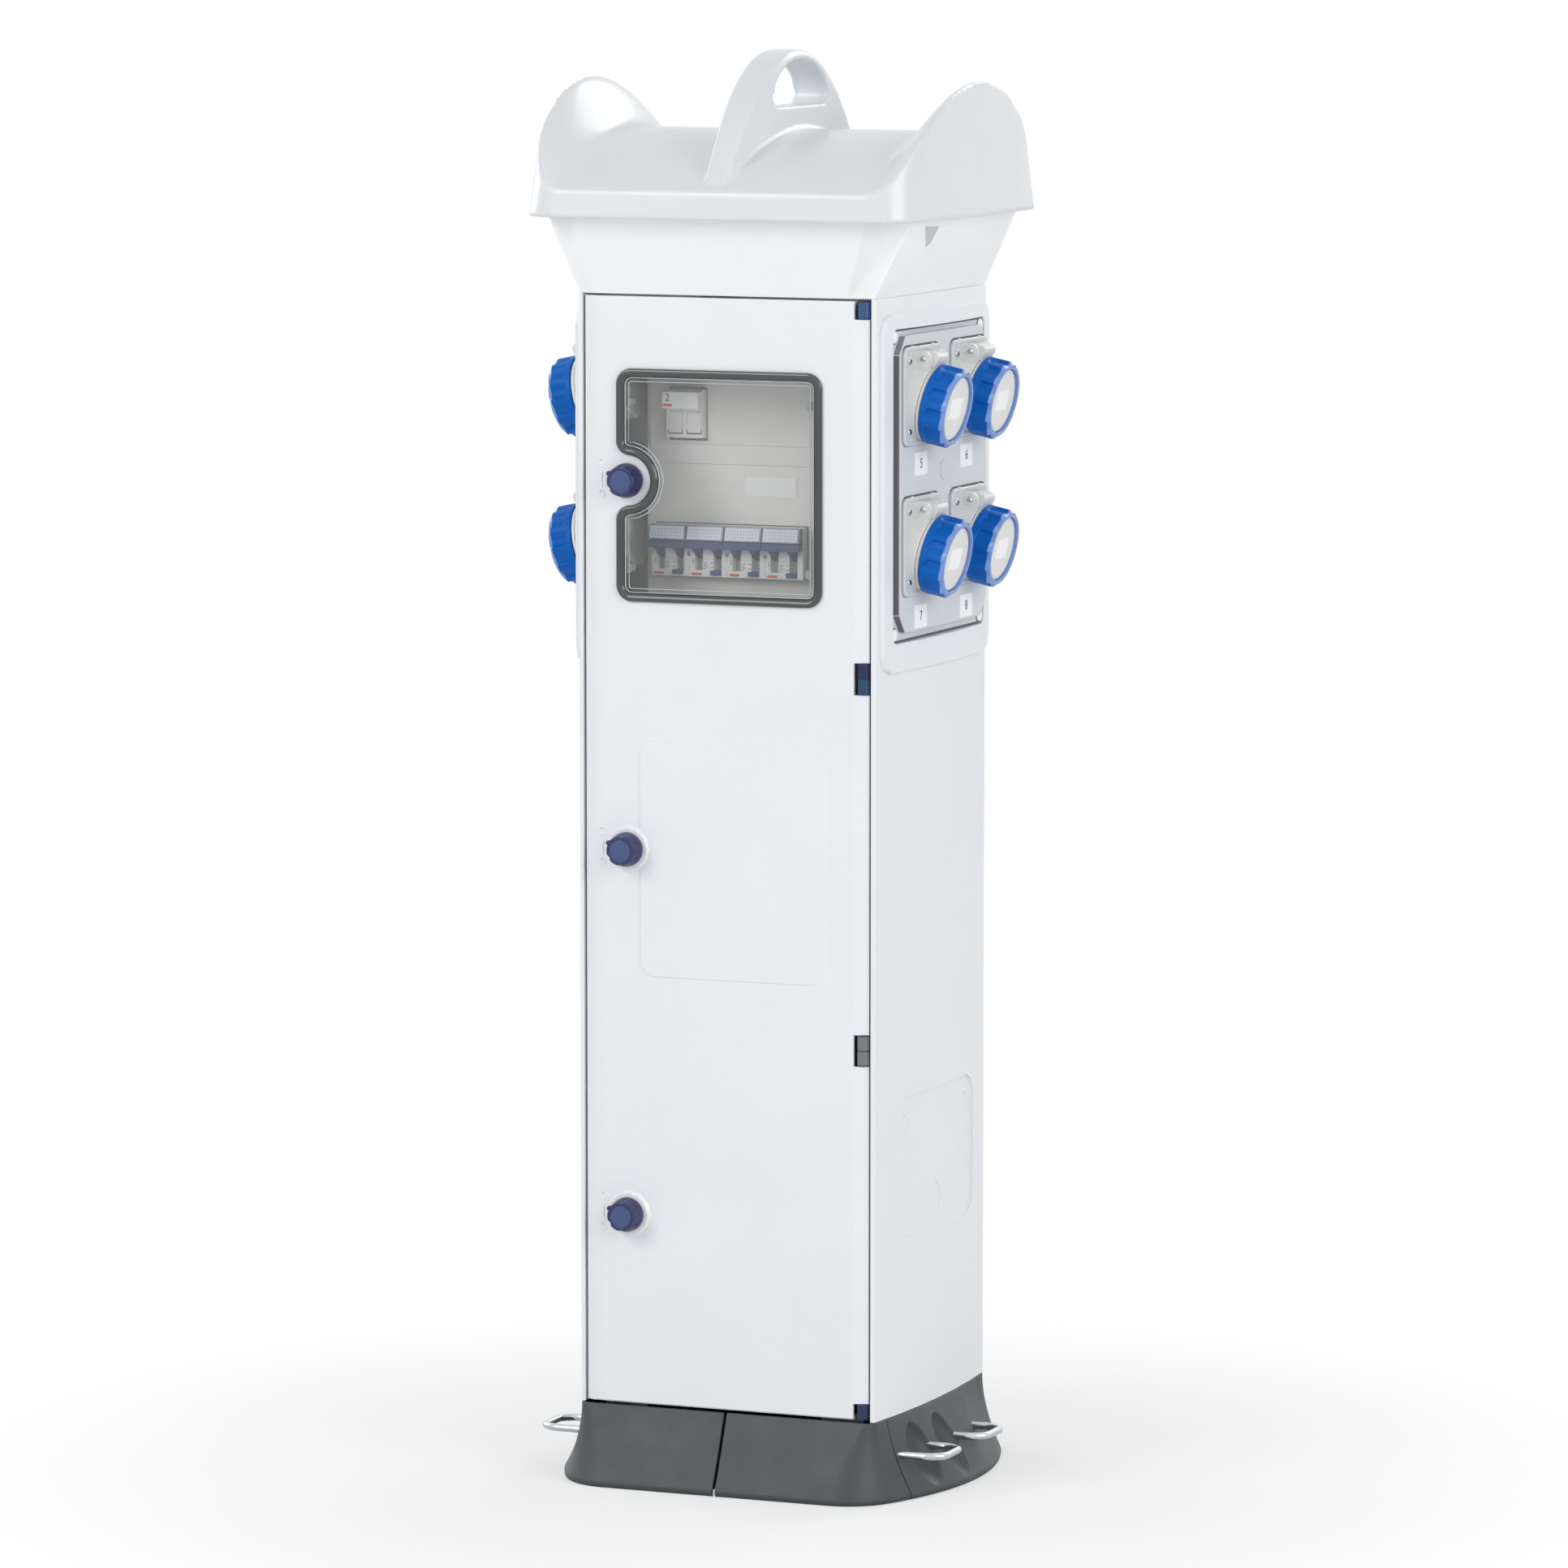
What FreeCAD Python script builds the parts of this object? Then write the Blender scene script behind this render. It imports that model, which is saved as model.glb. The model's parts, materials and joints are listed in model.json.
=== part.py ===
import FreeCAD, Part
import math
import operator
import os
from types import SimpleNamespace

import Sketcher
from FreeCAD import Placement, Rotation, Vector

# A campsite power pedestal. +Z is up, the origin is the centre of the base,
# the front door faces -Y and the right-hand sockets face +X.
# The column looks the same from the back: everything repeats after half a turn about Z.

# Sizes whose names end in below_top are levels measured down from the top of the handle,
# so that the cap, the sockets and all that hangs under them follow the total height.

SIZES = {
    # Whole column
    "total_height": 1250,
    "column_low": 70,
    "column_high_below_top": 208,
    "door_face": 134,
    "side_edge": 138.5,
    "side_bulge": 8,
    "side_depth": 131,
    "side_wall": 4,
    "side_end_wall": 3,
    "side_edge_round": 3,
    # Raised field of the side panel with its pocket for the sockets
    "field_raise": 5,
    "field_half": 125,
    "field_low_below_top": 530,
    "field_high_below_top": 222,
    "field_round": 16,
    "pocket_floor": 140.5,
    "pocket_half": 108,
    "pocket_low_below_top": 505.5,
    "pocket_high_below_top": 235,
    "pocket_round": 6,
    "pocket_ledge": 10,
    # Knock-out recess low on the side panel
    "recess_half": 95,
    "recess_low": 222,
    "recess_high": 347,
    "recess_round": 20,
    "recess_deep": 3,
    "knockout_round": 14,
    "knockout_deep": 1,
    "knockout_spread": 72,
    "knockout_high": 318,
    "knockout_low": 248,
    # Chassis inside the column
    "chassis_plate": 4,
    "plate_wing": 80,
    "plate_reach": 138,
    "post_outside": 129,
    "post_front": 115.5,
    "post_flange": 14,
    "post_web": 18,
    "post_wall": 3,
    "cable_hole_half": 45,
    "cable_hole_near": 30,
    "cable_hole_far": 90,
    "wall_thick": 4,
    "wall_half": 125,
    "rail_spacer": 8,
    "rail_width": 35,
    "rail_height": 7.5,
    "rail_gauge": 1,
    "rail_groove": 25,
    "rail_half": 95,
    # Steel foot
    "foot_half": 130,
    "foot_plate": 8,
    "foot_round": 12,
    "foot_leg": 40,
    "foot_leg_wall": 4,
    "foot_leg_place": 122,
    "foot_leg_back": 115,
    "anchor_half": 100,
    "anchor_round": 7,
    "foot_entry_half": 50,
    "foot_rail_high": 16,
    # Plinth covers
    "plinth_top": 69.5,
    "plinth_top_side": 146.5,
    "plinth_top_front": 134,
    "plinth_top_bulge": 8,
    "plinth_top_corner": 9,
    "plinth_wide_level": 5,
    "plinth_wide_side": 185,
    "plinth_wide_front": 162,
    "plinth_wide_bulge": 48,
    "plinth_wide_corner": 54,
    "plinth_sole_inset": 3,
    "plinth_waist_pull": 1,
    "plinth_wall": 4,
    "plinth_front_seam": 3,
    "plinth_side_seam": 1,
    "plinth_side_half": 108,
    "scallop_wide": 18,
    "scallop_tall": 30,
    "scallop_deep": 13,
    "scallop_level": 36,
    "scallop_mid": -46,
    "scallop_pitch": 49,
    # Tie loops of steel rod on the plinth sides
    "loop_rod": 6.5,
    "loop_level": 38,
    "loop_mid": -27,
    "loop_pitch": 100,
    "loop_half": 25,
    "loop_bar_half": 17,
    "loop_reach": 190,
    "loop_bend": 9,
    "loop_hole_gap": 1,
    # Lamp diffuser between the column and the cap
    "neck_wall": 3,
    "neck_high_below_top": 140,
    "neck_low_front": 115,
    "neck_low_corner": 137,
    "neck_low_side": 110,
    "neck_top_front": 135,
    "neck_top_face": 150,
    "neck_top_corner": 170,
    "neck_top_corner_back": 125,
    "neck_top_side": 178,
    "neck_top_mid": 15,
    # Lamp
    "lamp_block_half": 45,
    "lamp_block_deep": 18,
    "lamp_block_high": 22,
    "lamp_tube": 8,
    "lamp_tube_gap": 26,
    "lamp_tube_long": 105,
    "lamp_tube_level_below_top": 178,
    # Cap with its two ears and carrying handle
    "cap_rim_below_top": 142,
    "cap_side": 189,
    "cap_front": 166,
    "cap_bulge": 12,
    "cap_corner": 35,
    "cap_draft_side": 6,
    "cap_draft_front": 12,
    "cap_top_corner": 72,
    "cap_wall": 6,
    "cap_skirt_below_top": 119,
    "cap_ridge_below_top": 69,
    "cap_ear_below_top": 25,
    "cap_ear_start": 138,
    "cap_ear_full": 184,
    "cap_ear_power": 0.8,
    "cap_cavity_side": 150,
    "cap_cavity_front": 120,
    "cap_cavity_high_below_top": 128,
    "handle_half": 17,
    "handle_foot_half": 11,
    "handle_hole_half": 60,
    "handle_hole_low_below_top": 52,
    "handle_hole_high_below_top": 12,
    "handle_hole_round": 9,
    "handle_edge_round": 7,
    # Doors
    "door_low": 72,
    "door_high_below_top": 210,
    "door_half": 132.5,
    "door_back": 118,
    "door_wall": 3,
    "door_edge_wide": 20,
    "door_edge_drop": 5,
    "door_edge_round": 2,
    "hinge_across": 127,
    "hinge_back": 127,
    "knuckle_round": 6,
    "knuckle_gap": 0.6,
    "hinge_eye": 5.4,
    "hinge_eye_long": 12,
    "hinge_notch": 119.5,
    "hinge_pin": 2.5,
    "hinge_play": 0.06,
    "hinge_1_low": 72,
    "hinge_1_high": 85.3,
    "hinge_2_low": 381.4,
    "hinge_2_high": 407.6,
    "hinge_3_low_below_top": 547,
    "hinge_3_high_below_top": 520.5,
    "hinge_4_low_below_top": 225,
    "hinge_4_high_below_top": 210,
    # Window in the door
    "window_left": -101,
    "window_right": 91,
    "window_low_below_top": 474,
    "window_high_below_top": 272,
    "window_round": 14,
    "notch_round": 22,
    "notch_blend": 12,
    "window_seat": 3,
    "window_border": 10,
    "window_proud": 3,
    "window_pane": 2.5,
    "window_sink": 0.5,
    "gasket_thick": 0.6,
    "gasket_inset": 1,
    "window_fit": 0.3,
    # Locks on the doors
    "lock_across": -91,
    "lock_top_below_top": 369,
    "lock_pitch": 320.8,
    "knob_base": 15,
    "knob_face": 12.8,
    "knob_high": 16,
    "knob_gap": 0.4,
    "knob_disc": 8,
    "knob_disc_deep": 0.8,
    "knob_groove": 2.6,
    "knob_groove_count": 6,
    "knob_nub": 2.2,
    "lock_shaft": 4,
    "lock_play": 0.08,
    "collar_round": 21,
    "collar_high": 2.5,
    "cam_back": 108.5,
    "cam_thick": 3,
    "cam_half": 6,
    "cam_long": 31,
    # Socket plates
    "plate_base": 3,
    "plate_fit": 0.5,
    "plateau_face": 150,
    "plateau_half": 103,
    "plateau_low_below_top": 497,
    "plateau_high_below_top": 241,
    "plateau_cut_across": 14,
    "plateau_cut_up": 16,
    "plateau_wall": 3,
    # Sockets with their lids and rings, measured from the middle of the socket flange
    "socket_across": 56,
    "socket_upper_below_top": 293.5,
    "socket_lower_below_top": 423,
    "socket_tilt": 12,
    "socket_drop": 4.5,
    "flange_half": 42.5,
    "flange_thick": 3,
    "flange_round": 8,
    "socket_body": 29.5,
    "socket_body_deep": 32,
    "socket_hole_gap": 1.8,
    "collar_outer": 34,
    "collar_inner": 27,
    "collar_long": 9.5,
    "socket_floor": -26,
    "insert_round": 21,
    "insert_high": 12,
    "contact_round": 2.6,
    "contact_circle": 12.5,
    "lid_pivot_out": 10,
    "lid_pivot_up": 32,
    "lid_knuckle": 6.5,
    "lid_knuckle_half": 12,
    "lid_pin": 2,
    "lid_pin_half": 16,
    "lid_arm_gap": 0.3,
    "lid_play": 0.06,
    "lid_start": 10,
    "lid_base_thick": 3.2,
    "lid_base_round": 31,
    "lid_disc": 28.3,
    "lid_long": 33.5,
    "ring_gap": 0.3,
    "ring_outer": 34.8,
    "ring_end": 36,
    "ring_bevel_wide": 3.5,
    "ring_bevel_deep": 2.5,
    "ring_flat": 33.6,
    "ring_flat_count": 10,
    # Breaker panel and what it holds
    "panel_half": 100,
    "panel_low_below_top": 505,
    "panel_high_below_top": 238,
    "panel_front": 69,
    "panel_wall": 3,
    "panel_step_upper_below_top": 341,
    "panel_step_lower_below_top": 358,
    "panel_step_high": 2,
    "panel_step_low_high": 0.8,
    "panel_step_half": 97,
    "breaker_left": -92,
    "breaker_wide": 35.6,
    "breaker_gap": 0.2,
    "breaker_level_below_top": 433,
    "nose_high": 45,
    "nose_front": 79,
    "breaker_body_high": 88,
    "breaker_body_front": 62,
    "cutout_gap": 0.8,
    "toggle_place": 8.9,
    "toggle_half": 3.2,
    "toggle_slot_half": 3.8,
    "toggle_slot_low": -17,
    "toggle_slot_high": 8,
    "toggle_slot_deep": 13,
    "lever_pivot_level": -4,
    "lever_pivot_back": 71,
    "lever_bar_front": 90,
    "lever_bar_back": 80.5,
    "lever_bar_low": 2.5,
    "lever_bar_high": 9,
    "lever_root": 3.5,
    "button_across": 7,
    "button_level": -19,
    "button_half": 4.8,
    "button_tall_half": 1.8,
    "button_gap": 0.3,
    "button_front": 80.8,
    "button_long": 8,
    "button_well": 70.5,
    "fuse_left": -78.4,
    "fuse_level_below_top": 314.5,
    "fuse_wide": 35,
    "fuse_back": 66,
    "carrier_gap": 0.4,
    "carrier_back": 66.3,
    "carrier_low": -20.5,
    "carrier_high": 21.5,
    "carrier_tab_low": 5,
    "carrier_tab_high": 20,
    "carrier_tab_front": 89,
    "carrier_tab_sink": 1.5,
}

doc = FreeCAD.newDocument("power_pedestal")
sheet = doc.addObject("Spreadsheet::Sheet", "Sizes")
for row, (alias, number) in enumerate(SIZES.items(), 1):
    sheet.set("A%d" % row, alias)
    sheet.set("B%d" % row, str(number))
    sheet.setAlias("B%d" % row, alias)
doc.recompute()


class Size:
    """A length read from the sheet, with the spreadsheet formula that gives it."""

    def __init__(self, value, formula):
        self.value = value
        self.formula = formula

    def __float__(self):
        return self.value

    def __add__(self, other):
        return joined(operator.add, "+", self, other)

    def __sub__(self, other):
        return joined(operator.sub, "-", self, other)

    def __mul__(self, other):
        return joined(operator.mul, "*", self, other)

    def __truediv__(self, other):
        return joined(operator.truediv, "/", self, other)

    def __radd__(self, other):
        return joined(operator.add, "+", other, self)

    def __rsub__(self, other):
        return joined(operator.sub, "-", other, self)

    def __rmul__(self, other):
        return joined(operator.mul, "*", other, self)

    def __neg__(self):
        return joined(operator.sub, "-", 0, self)


def sized(thing):
    """Plain numbers become sizes with a plain formula."""
    if isinstance(thing, Size):
        return thing
    return Size(float(thing), "(%r)" % float(thing))


def joined(work, sign, first, second):
    """The result of one arithmetic step, as a value and as a formula."""
    first = sized(first)
    second = sized(second)
    formula = "(%s %s %s)" % (first.formula, sign, second.formula)
    return Size(work(first.value, second.value), formula)


S = SimpleNamespace()
for alias in SIZES:
    setattr(S, alias, Size(float(sheet.get(alias)), "Sizes." + alias))
BELOW_TOP = "_below_top"
for alias in SIZES:
    if alias.endswith(BELOW_TOP):
        setattr(S, alias[:-len(BELOW_TOP)], S.total_height - getattr(S, alias))

NODES = {}
HALF_TURN = Rotation(Vector(0, 0, 1), 180)


def point(across, back, up):
    """A vector from sizes."""
    return Vector(float(across), float(back), float(up))


def bind(thing, prop, size):
    """Tie one property of a document object to the sheet."""
    thing.setExpression(prop, sized(size).formula)


def seat(thing, place):
    """Tie the position of a document object to the sheet."""
    for letter, size in zip("xyz", place):
        bind(thing, "Placement.Base." + letter, size)


def box(name, low, high):
    """A block between two corners."""
    solid = doc.addObject("Part::Box", name)
    for prop, start, end in zip(("Length", "Width", "Height"), low, high):
        bind(solid, prop, sized(end) - start)
    seat(solid, low)
    return solid


def cylinder(name, radius, start, length, direction, sides=8, hole=False):
    """A many-sided round bar from its start along a direction.

    A bar's corners lie on its radius; a hole's faces do, so that a bar turns freely in a hole.
    """
    solid = doc.addObject("Part::Prism", name)
    solid.Polygon = sides
    bind(solid, "Circumradius", radius / math.cos(math.pi / sides) if hole else sized(radius))
    bind(solid, "Height", length)
    solid.Placement = Placement(Vector(), Rotation(Vector(0, 0, 1), direction))
    seat(solid, start)
    return solid


def fused(name, parts):
    """Several objects made one."""
    union = doc.addObject("Part::MultiFuse", name)
    union.Shapes = parts
    union.Refine = True
    return union


def common(name, parts):
    """What several objects share."""
    shared = doc.addObject("Part::MultiCommon", name)
    shared.Shapes = parts
    return shared


def cut(name, base, tools):
    """An object with the tools taken out of it, one after the other."""
    for number, tool in enumerate(tools, 1):
        rest = doc.addObject("Part::Cut", "%s_cut_%d" % (name, number))
        rest.Base = base
        rest.Tool = tool
        rest.Refine = True
        base = rest
    return base


def group(name, parts):
    """Separate solids kept together."""
    compound = doc.addObject("Part::Compound", name)
    compound.Links = parts
    return compound


def turned(name, source):
    """The same piece half a turn round the column."""
    twin = group(name, [source])
    twin.Placement = Placement(Vector(), HALF_TURN)
    return twin


def placed(name, source, place, rotation):
    """A copy of a piece at another place."""
    twin = group(name, [source])
    twin.Placement = Placement(place, rotation)
    return twin


def formed(name, shape):
    """A shape made with Part's own functions."""
    solid = doc.addObject("Part::Feature", name)
    solid.Shape = shape
    return solid


def node(name, thing):
    """Register a finished sub-part under its own name."""
    thing.Label = name
    NODES[name] = thing
    return thing


def new_body(name):
    """An empty PartDesign body."""
    return doc.addObject("PartDesign::Body", name)


def origin_plane(body, role):
    """One of a body's own origin planes."""
    for feature in body.Origin.OriginFeatures:
        if feature.Role == role:
            return feature
    raise ValueError(role)


def new_sketch(body, name, role, offset):
    """A sketch on an origin plane of its body, moved along the plane's normal."""
    sketch = body.newObject("Sketcher::SketchObject", name)
    sketch.AttachmentSupport = (origin_plane(body, role), [""])
    sketch.MapMode = "FlatFace"
    bind(sketch, "AttachmentOffset.Base.z", offset)
    return sketch


def hold(sketch, kind, *places, size):
    """A datum constraint tied to the sheet."""
    size = sized(size)
    number = sketch.addConstraint(Sketcher.Constraint(kind, *places, size.value))
    sketch.setExpression("Constraints[%d]" % number, size.formula)


def add_rectangle(sketch, left, right, low, high):
    """Four constrained lines; returns nothing, the sketch holds them."""
    corners = [(left, low), (right, low), (right, high), (left, high)]
    spots = [point(across, up, 0) for across, up in corners]
    first = sketch.GeometryCount
    for number in range(4):
        line = Part.LineSegment(spots[number], spots[(number + 1) % 4])
        sketch.addGeometry(line, False)
    for number in range(4):
        after = first + (number + 1) % 4
        sketch.addConstraint(Sketcher.Constraint("Coincident", first + number, 2, after, 1))
    for number, kind in enumerate(("Horizontal", "Vertical", "Horizontal", "Vertical")):
        sketch.addConstraint(Sketcher.Constraint(kind, first + number))
    hold(sketch, "DistanceX", -1, 1, first, 1, size=left)
    hold(sketch, "DistanceY", -1, 1, first, 1, size=low)
    hold(sketch, "DistanceX", first, 1, first, 2, size=sized(right) - left)
    hold(sketch, "DistanceY", first + 1, 1, first + 1, 2, size=sized(high) - low)


def add_circle(sketch, across, up, radius):
    """One constrained circle."""
    circle = Part.Circle(point(across, up, 0), Vector(0, 0, 1), float(radius))
    number = sketch.addGeometry(circle, False)
    hold(sketch, "DistanceX", -1, 1, number, 3, size=across)
    hold(sketch, "DistanceY", -1, 1, number, 3, size=up)
    hold(sketch, "Radius", number, size=radius)


def pad(body, sketch, length, backwards=False):
    """Add material along the sketch's normal, or against it."""
    before = body.Shape.Volume if body.Tip else 0.0
    feature = body.newObject("PartDesign::Pad", sketch.Name + "_pad")
    feature.Profile = sketch
    bind(feature, "Length", length)
    feature.Reversed = backwards
    doc.recompute()
    assert body.Shape.Volume > before, "the pad of %s adds nothing" % sketch.Name
    return feature


def pocket(body, sketch, length, backwards=False):
    """Take material away against the sketch's normal, or along it."""
    before = body.Shape.Volume
    feature = body.newObject("PartDesign::Pocket", sketch.Name + "_pocket")
    feature.Profile = sketch
    bind(feature, "Length", length)
    feature.Reversed = backwards
    doc.recompute()
    assert body.Shape.Volume < before, "the pocket of %s cuts nothing" % sketch.Name
    return feature


def edges_along(shape, direction, length=None):
    """Names of the straight edges that run in one direction."""
    names = []
    for number, edge in enumerate(shape.Edges, 1):
        if edge.Curve.TypeId != "Part::GeomLine":
            continue
        if abs(abs(edge.Curve.Direction.dot(direction)) - 1) > 1e-6:
            continue
        if length is None or abs(edge.Length - length) < 1e-3:
            names.append("Edge%d" % number)
    return names


def round_edges(body, feature, names, radius):
    """A fillet on named edges of a feature."""
    fillet = body.newObject("PartDesign::Fillet", feature.Name + "_fillet")
    fillet.Base = (feature, names)
    bind(fillet, "Radius", radius)
    doc.recompute()
    return fillet


def chamfer_edges(body, feature, names, size):
    """A chamfer on named edges of a feature."""
    chamfer = body.newObject("PartDesign::Chamfer", feature.Name + "_chamfer")
    chamfer.Base = (feature, names)
    bind(chamfer, "Size", size)
    doc.recompute()
    return chamfer


def rounded_plate(name, role, offset, left, right, low, high, thick, radius, backwards=False):
    """A PartDesign plate with four broken corners."""
    body = new_body(name)
    sketch = new_sketch(body, name + "_outline", role, offset)
    add_rectangle(sketch, left, right, low, high)
    feature = pad(body, sketch, thick, backwards)
    normal = {"XY_Plane": Vector(0, 0, 1), "XZ_Plane": Vector(0, 1, 0), "YZ_Plane": Vector(1, 0, 0)}
    chamfer_edges(body, feature, edges_along(feature.Shape, normal[role]), radius * 0.6)
    return body


def flat_faces(corners):
    """One face over four corners that lie in a plane, else two triangles."""
    first, second, third, fourth = corners
    normal = second.sub(first).cross(third.sub(first))
    if normal.Length < 1e-9:
        return [Part.Face(polygon([first, third, fourth]))]
    if third.sub(fourth).Length < 1e-9:
        return [Part.Face(polygon([first, second, third]))]
    if abs(fourth.sub(first).dot(normal.normalize())) < 1e-7:
        return [Part.Face(polygon(corners))]
    return [Part.Face(polygon([first, second, third])), Part.Face(polygon([first, third, fourth]))]


def closed_solid(faces):
    """A solid from faces that close up on each other."""
    shell = Part.makeCompound(faces)
    shell.sewShape(1e-6)
    solid = Part.makeSolid(shell.Shells[0])
    if solid.Volume < 0:
        solid = solid.reversed()
    return solid


def stacked_solid(rings):
    """A solid skinned over rings of points, with flat ends."""
    faces = []
    count = len(rings[0])
    for low, high in zip(rings, rings[1:]):
        for number in range(count):
            after = (number + 1) % count
            faces += flat_faces([low[number], low[after], high[after], high[number]])
    faces.append(Part.Face(polygon(rings[0])))
    faces.append(Part.Face(polygon(rings[-1])))
    return closed_solid(faces)


def round_points(centre, radius, first, last, steps):
    """Points on an arc in plan, angles in radians, both ends included."""
    points = []
    for step in range(steps + 1):
        angle = first + (last - first) * step / steps
        points.append(Vector(centre.x + radius * math.cos(angle), centre.y + radius * math.sin(angle), centre.z))
    return points


def prism(wire, direction):
    """A closed outline drawn out along a vector."""
    return Part.Face(wire).extrude(direction)


def bulged_outline(side, front, bulge, corner, level, corner_steps=4, side_steps=4):
    """Plan outline with straight fronts, bulging sides and round corners, as points.

    side is the half width at the middle of the bulge, front the half depth.
    """
    side, front, bulge = float(side), float(front), float(bulge)
    corner, level = float(corner), float(level)
    sweep = (front ** 2 + bulge ** 2) / (2 * bulge)
    sweep_x = side - sweep
    corner_y = front - corner
    corner_x = sweep_x + math.sqrt((sweep - corner) ** 2 - corner_y ** 2)
    lean = math.atan2(corner_y, corner_x - sweep_x)
    middle = Vector(sweep_x, 0, level)
    half = round_points(middle, sweep, -lean, lean, side_steps)[:-1]
    half += round_points(Vector(corner_x, corner_y, level), corner, lean, math.pi / 2, corner_steps)
    other = round_points(Vector(corner_x, -corner_y, level), corner, -math.pi / 2, -lean, corner_steps)[:-1]
    points = other + half
    return points + [Vector(-spot.x, -spot.y, spot.z) for spot in points]


def polygon(corners):
    """A closed wire of straight edges."""
    return Part.makePolygon(corners + [corners[0]])


def rounded_prism(direction, start, low, high, depth, radius, steps=2):
    """A block with rounded corners, its faces square to X or Y."""
    left, bottom = float(low[0]), float(low[1])
    right, top = float(high[0]), float(high[1])
    start, depth, radius = float(start), float(depth), float(radius)
    if radius <= 0:
        flat = [Vector(left, bottom, 0), Vector(right, bottom, 0), Vector(right, top, 0), Vector(left, top, 0)]
    else:
        flat = []
        centres = [
            (right - radius, bottom + radius), (right - radius, top - radius),
            (left + radius, top - radius), (left + radius, bottom + radius),
        ]
        for number, (across, up) in enumerate(centres):
            first = math.pi / 2 * (number - 1)
            flat += round_points(Vector(across, up, 0), radius, first, first + math.pi / 2, steps)
    if direction == "X":
        outline = [Vector(start, spot.x, spot.y) for spot in flat]
        return prism(polygon(outline), Vector(depth, 0, 0))
    outline = [Vector(spot.x, start, spot.y) for spot in flat]
    return prism(polygon(outline), Vector(0, depth, 0))


# Side panels

def side_profile(offset, chord, depth, steps=6):
    """Plan section of the side panel: a chord closed by its bulging arc."""
    edge = float(S.side_edge + offset)
    bulge = float(S.side_bulge)
    depth = float(depth)
    chord = float(chord)
    sweep = (depth ** 2 + bulge ** 2) / (2 * bulge)
    lean = math.asin(depth / sweep)
    points = round_points(Vector(edge + bulge - sweep, 0, 0), sweep, -lean, lean, steps)
    return polygon([Vector(chord, -depth, 0)] + points + [Vector(chord, depth, 0)])


def side_slab(offset, chord, depth, low, high, steps=6):
    """The side profile drawn up between two levels."""
    slab = prism(side_profile(offset, chord, depth, steps), Vector(0, 0, float(high - low)))
    slab.translate(Vector(0, 0, float(low)))
    return slab


def side_panel():
    """The right-hand side panel: a bulging shell with a raised, pocketed field."""
    chord = S.side_edge - S.side_wall
    skin = side_slab(0, chord, S.side_depth, S.column_low, S.column_high)
    front_edges = []
    for edge in skin.Edges:
        at_front = abs(abs(edge.CenterOfMass.y) - float(S.side_depth)) < 0.1
        if edge.BoundBox.ZLength > 500 and at_front and edge.BoundBox.XMin > float(S.side_edge) - 0.1:
            front_edges.append(edge)
    skin = skin.makeChamfer(float(S.side_edge_round) / 2, front_edges)
    hollow = side_slab(
        -S.side_wall, chord - 5, S.side_depth, S.column_low + S.side_end_wall, S.column_high - S.side_end_wall, 4
    )
    seat_low = (-S.pocket_half - S.side_wall, S.pocket_low - S.side_wall)
    seat_high = (S.pocket_half + S.side_wall, S.pocket_high + S.side_wall)
    seat_start = S.pocket_floor - S.plate_base
    reach = S.side_bulge + S.field_raise + S.side_wall + S.plate_base
    seating = rounded_prism("X", seat_start, seat_low, seat_high, reach, 0)
    shell = skin.cut(hollow.cut(seating))

    raised = side_slab(S.field_raise, chord, S.side_depth, S.column_low, S.column_high)
    field_low = (-S.field_half, S.field_low)
    field_high = (S.field_half, S.field_high)
    far = S.side_edge + S.side_bulge + S.field_raise + S.field_raise
    field = rounded_prism("X", S.side_edge, field_low, field_high, far - S.side_edge, S.field_round)
    bevel = side_slab(0, chord, S.side_depth, S.column_low, S.column_high)
    outside = shell.fuse(raised.common(field).cut(bevel))

    pocket_low = (-S.pocket_half, S.pocket_low)
    pocket_high = (S.pocket_half, S.pocket_high)
    well = rounded_prism("X", S.pocket_floor, pocket_low, pocket_high, far - S.pocket_floor, S.pocket_round)
    through_low = (-S.pocket_half + S.pocket_ledge, S.pocket_low + S.pocket_ledge)
    through_high = (S.pocket_half - S.pocket_ledge, S.pocket_high - S.pocket_ledge)
    through = rounded_prism("X", chord, through_low, through_high, far - chord, S.pocket_round)

    inner = side_slab(-S.recess_deep, chord, S.side_depth, S.column_low, S.column_high)
    recess_low = (-S.recess_half, S.recess_low)
    recess_high = (S.recess_half, S.recess_high)
    window = rounded_prism("X", S.side_edge, recess_low, recess_high, far - S.side_edge, S.recess_round)
    recess = window.cut(inner)

    shell = outside.cut([well, through, recess])
    deeper = side_slab(-S.recess_deep - S.knockout_deep, chord - 20, S.side_depth, S.column_low, S.column_high)
    places = [
        (-S.knockout_spread, S.knockout_high),
        (S.knockout_spread, S.knockout_high),
        (0, S.knockout_low),
    ]
    backing = shell_backing(chord)
    shell = shell.fuse(backing)
    for across, up in places:
        centre = point(across, up, 0)
        rim = round_points(centre, float(S.knockout_round), 0, 2 * math.pi, 8)[:-1]
        disc = polygon([Vector(float(chord), spot.x, spot.y) for spot in rim])
        plug = prism(disc, Vector(40, 0, 0))
        shell = shell.cut(plug.cut(deeper))
    return shell.removeSplitter()


def shell_backing(chord):
    """Thicker wall behind the lower recess, so that it keeps its wall."""
    outer = side_slab(-S.recess_deep, chord, S.side_depth, S.column_low, S.column_high)
    inner = side_slab(-S.recess_deep - S.side_wall, chord - 20, S.side_depth, S.column_low, S.column_high)
    low = (-S.recess_half - S.side_wall, S.recess_low - S.side_wall)
    high = (S.recess_half + S.side_wall, S.recess_high + S.side_wall)
    region = rounded_prism("X", chord, low, high, S.side_bulge + S.side_wall, S.recess_round)
    return outer.common(region).cut(inner)


def make_side_panels():
    right = formed("side_panel_right", side_panel())
    node("side_panels", group("side_panel_pair", [right, turned("side_panel_left", right)]))


# Chassis: end plates and four corner posts

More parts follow.
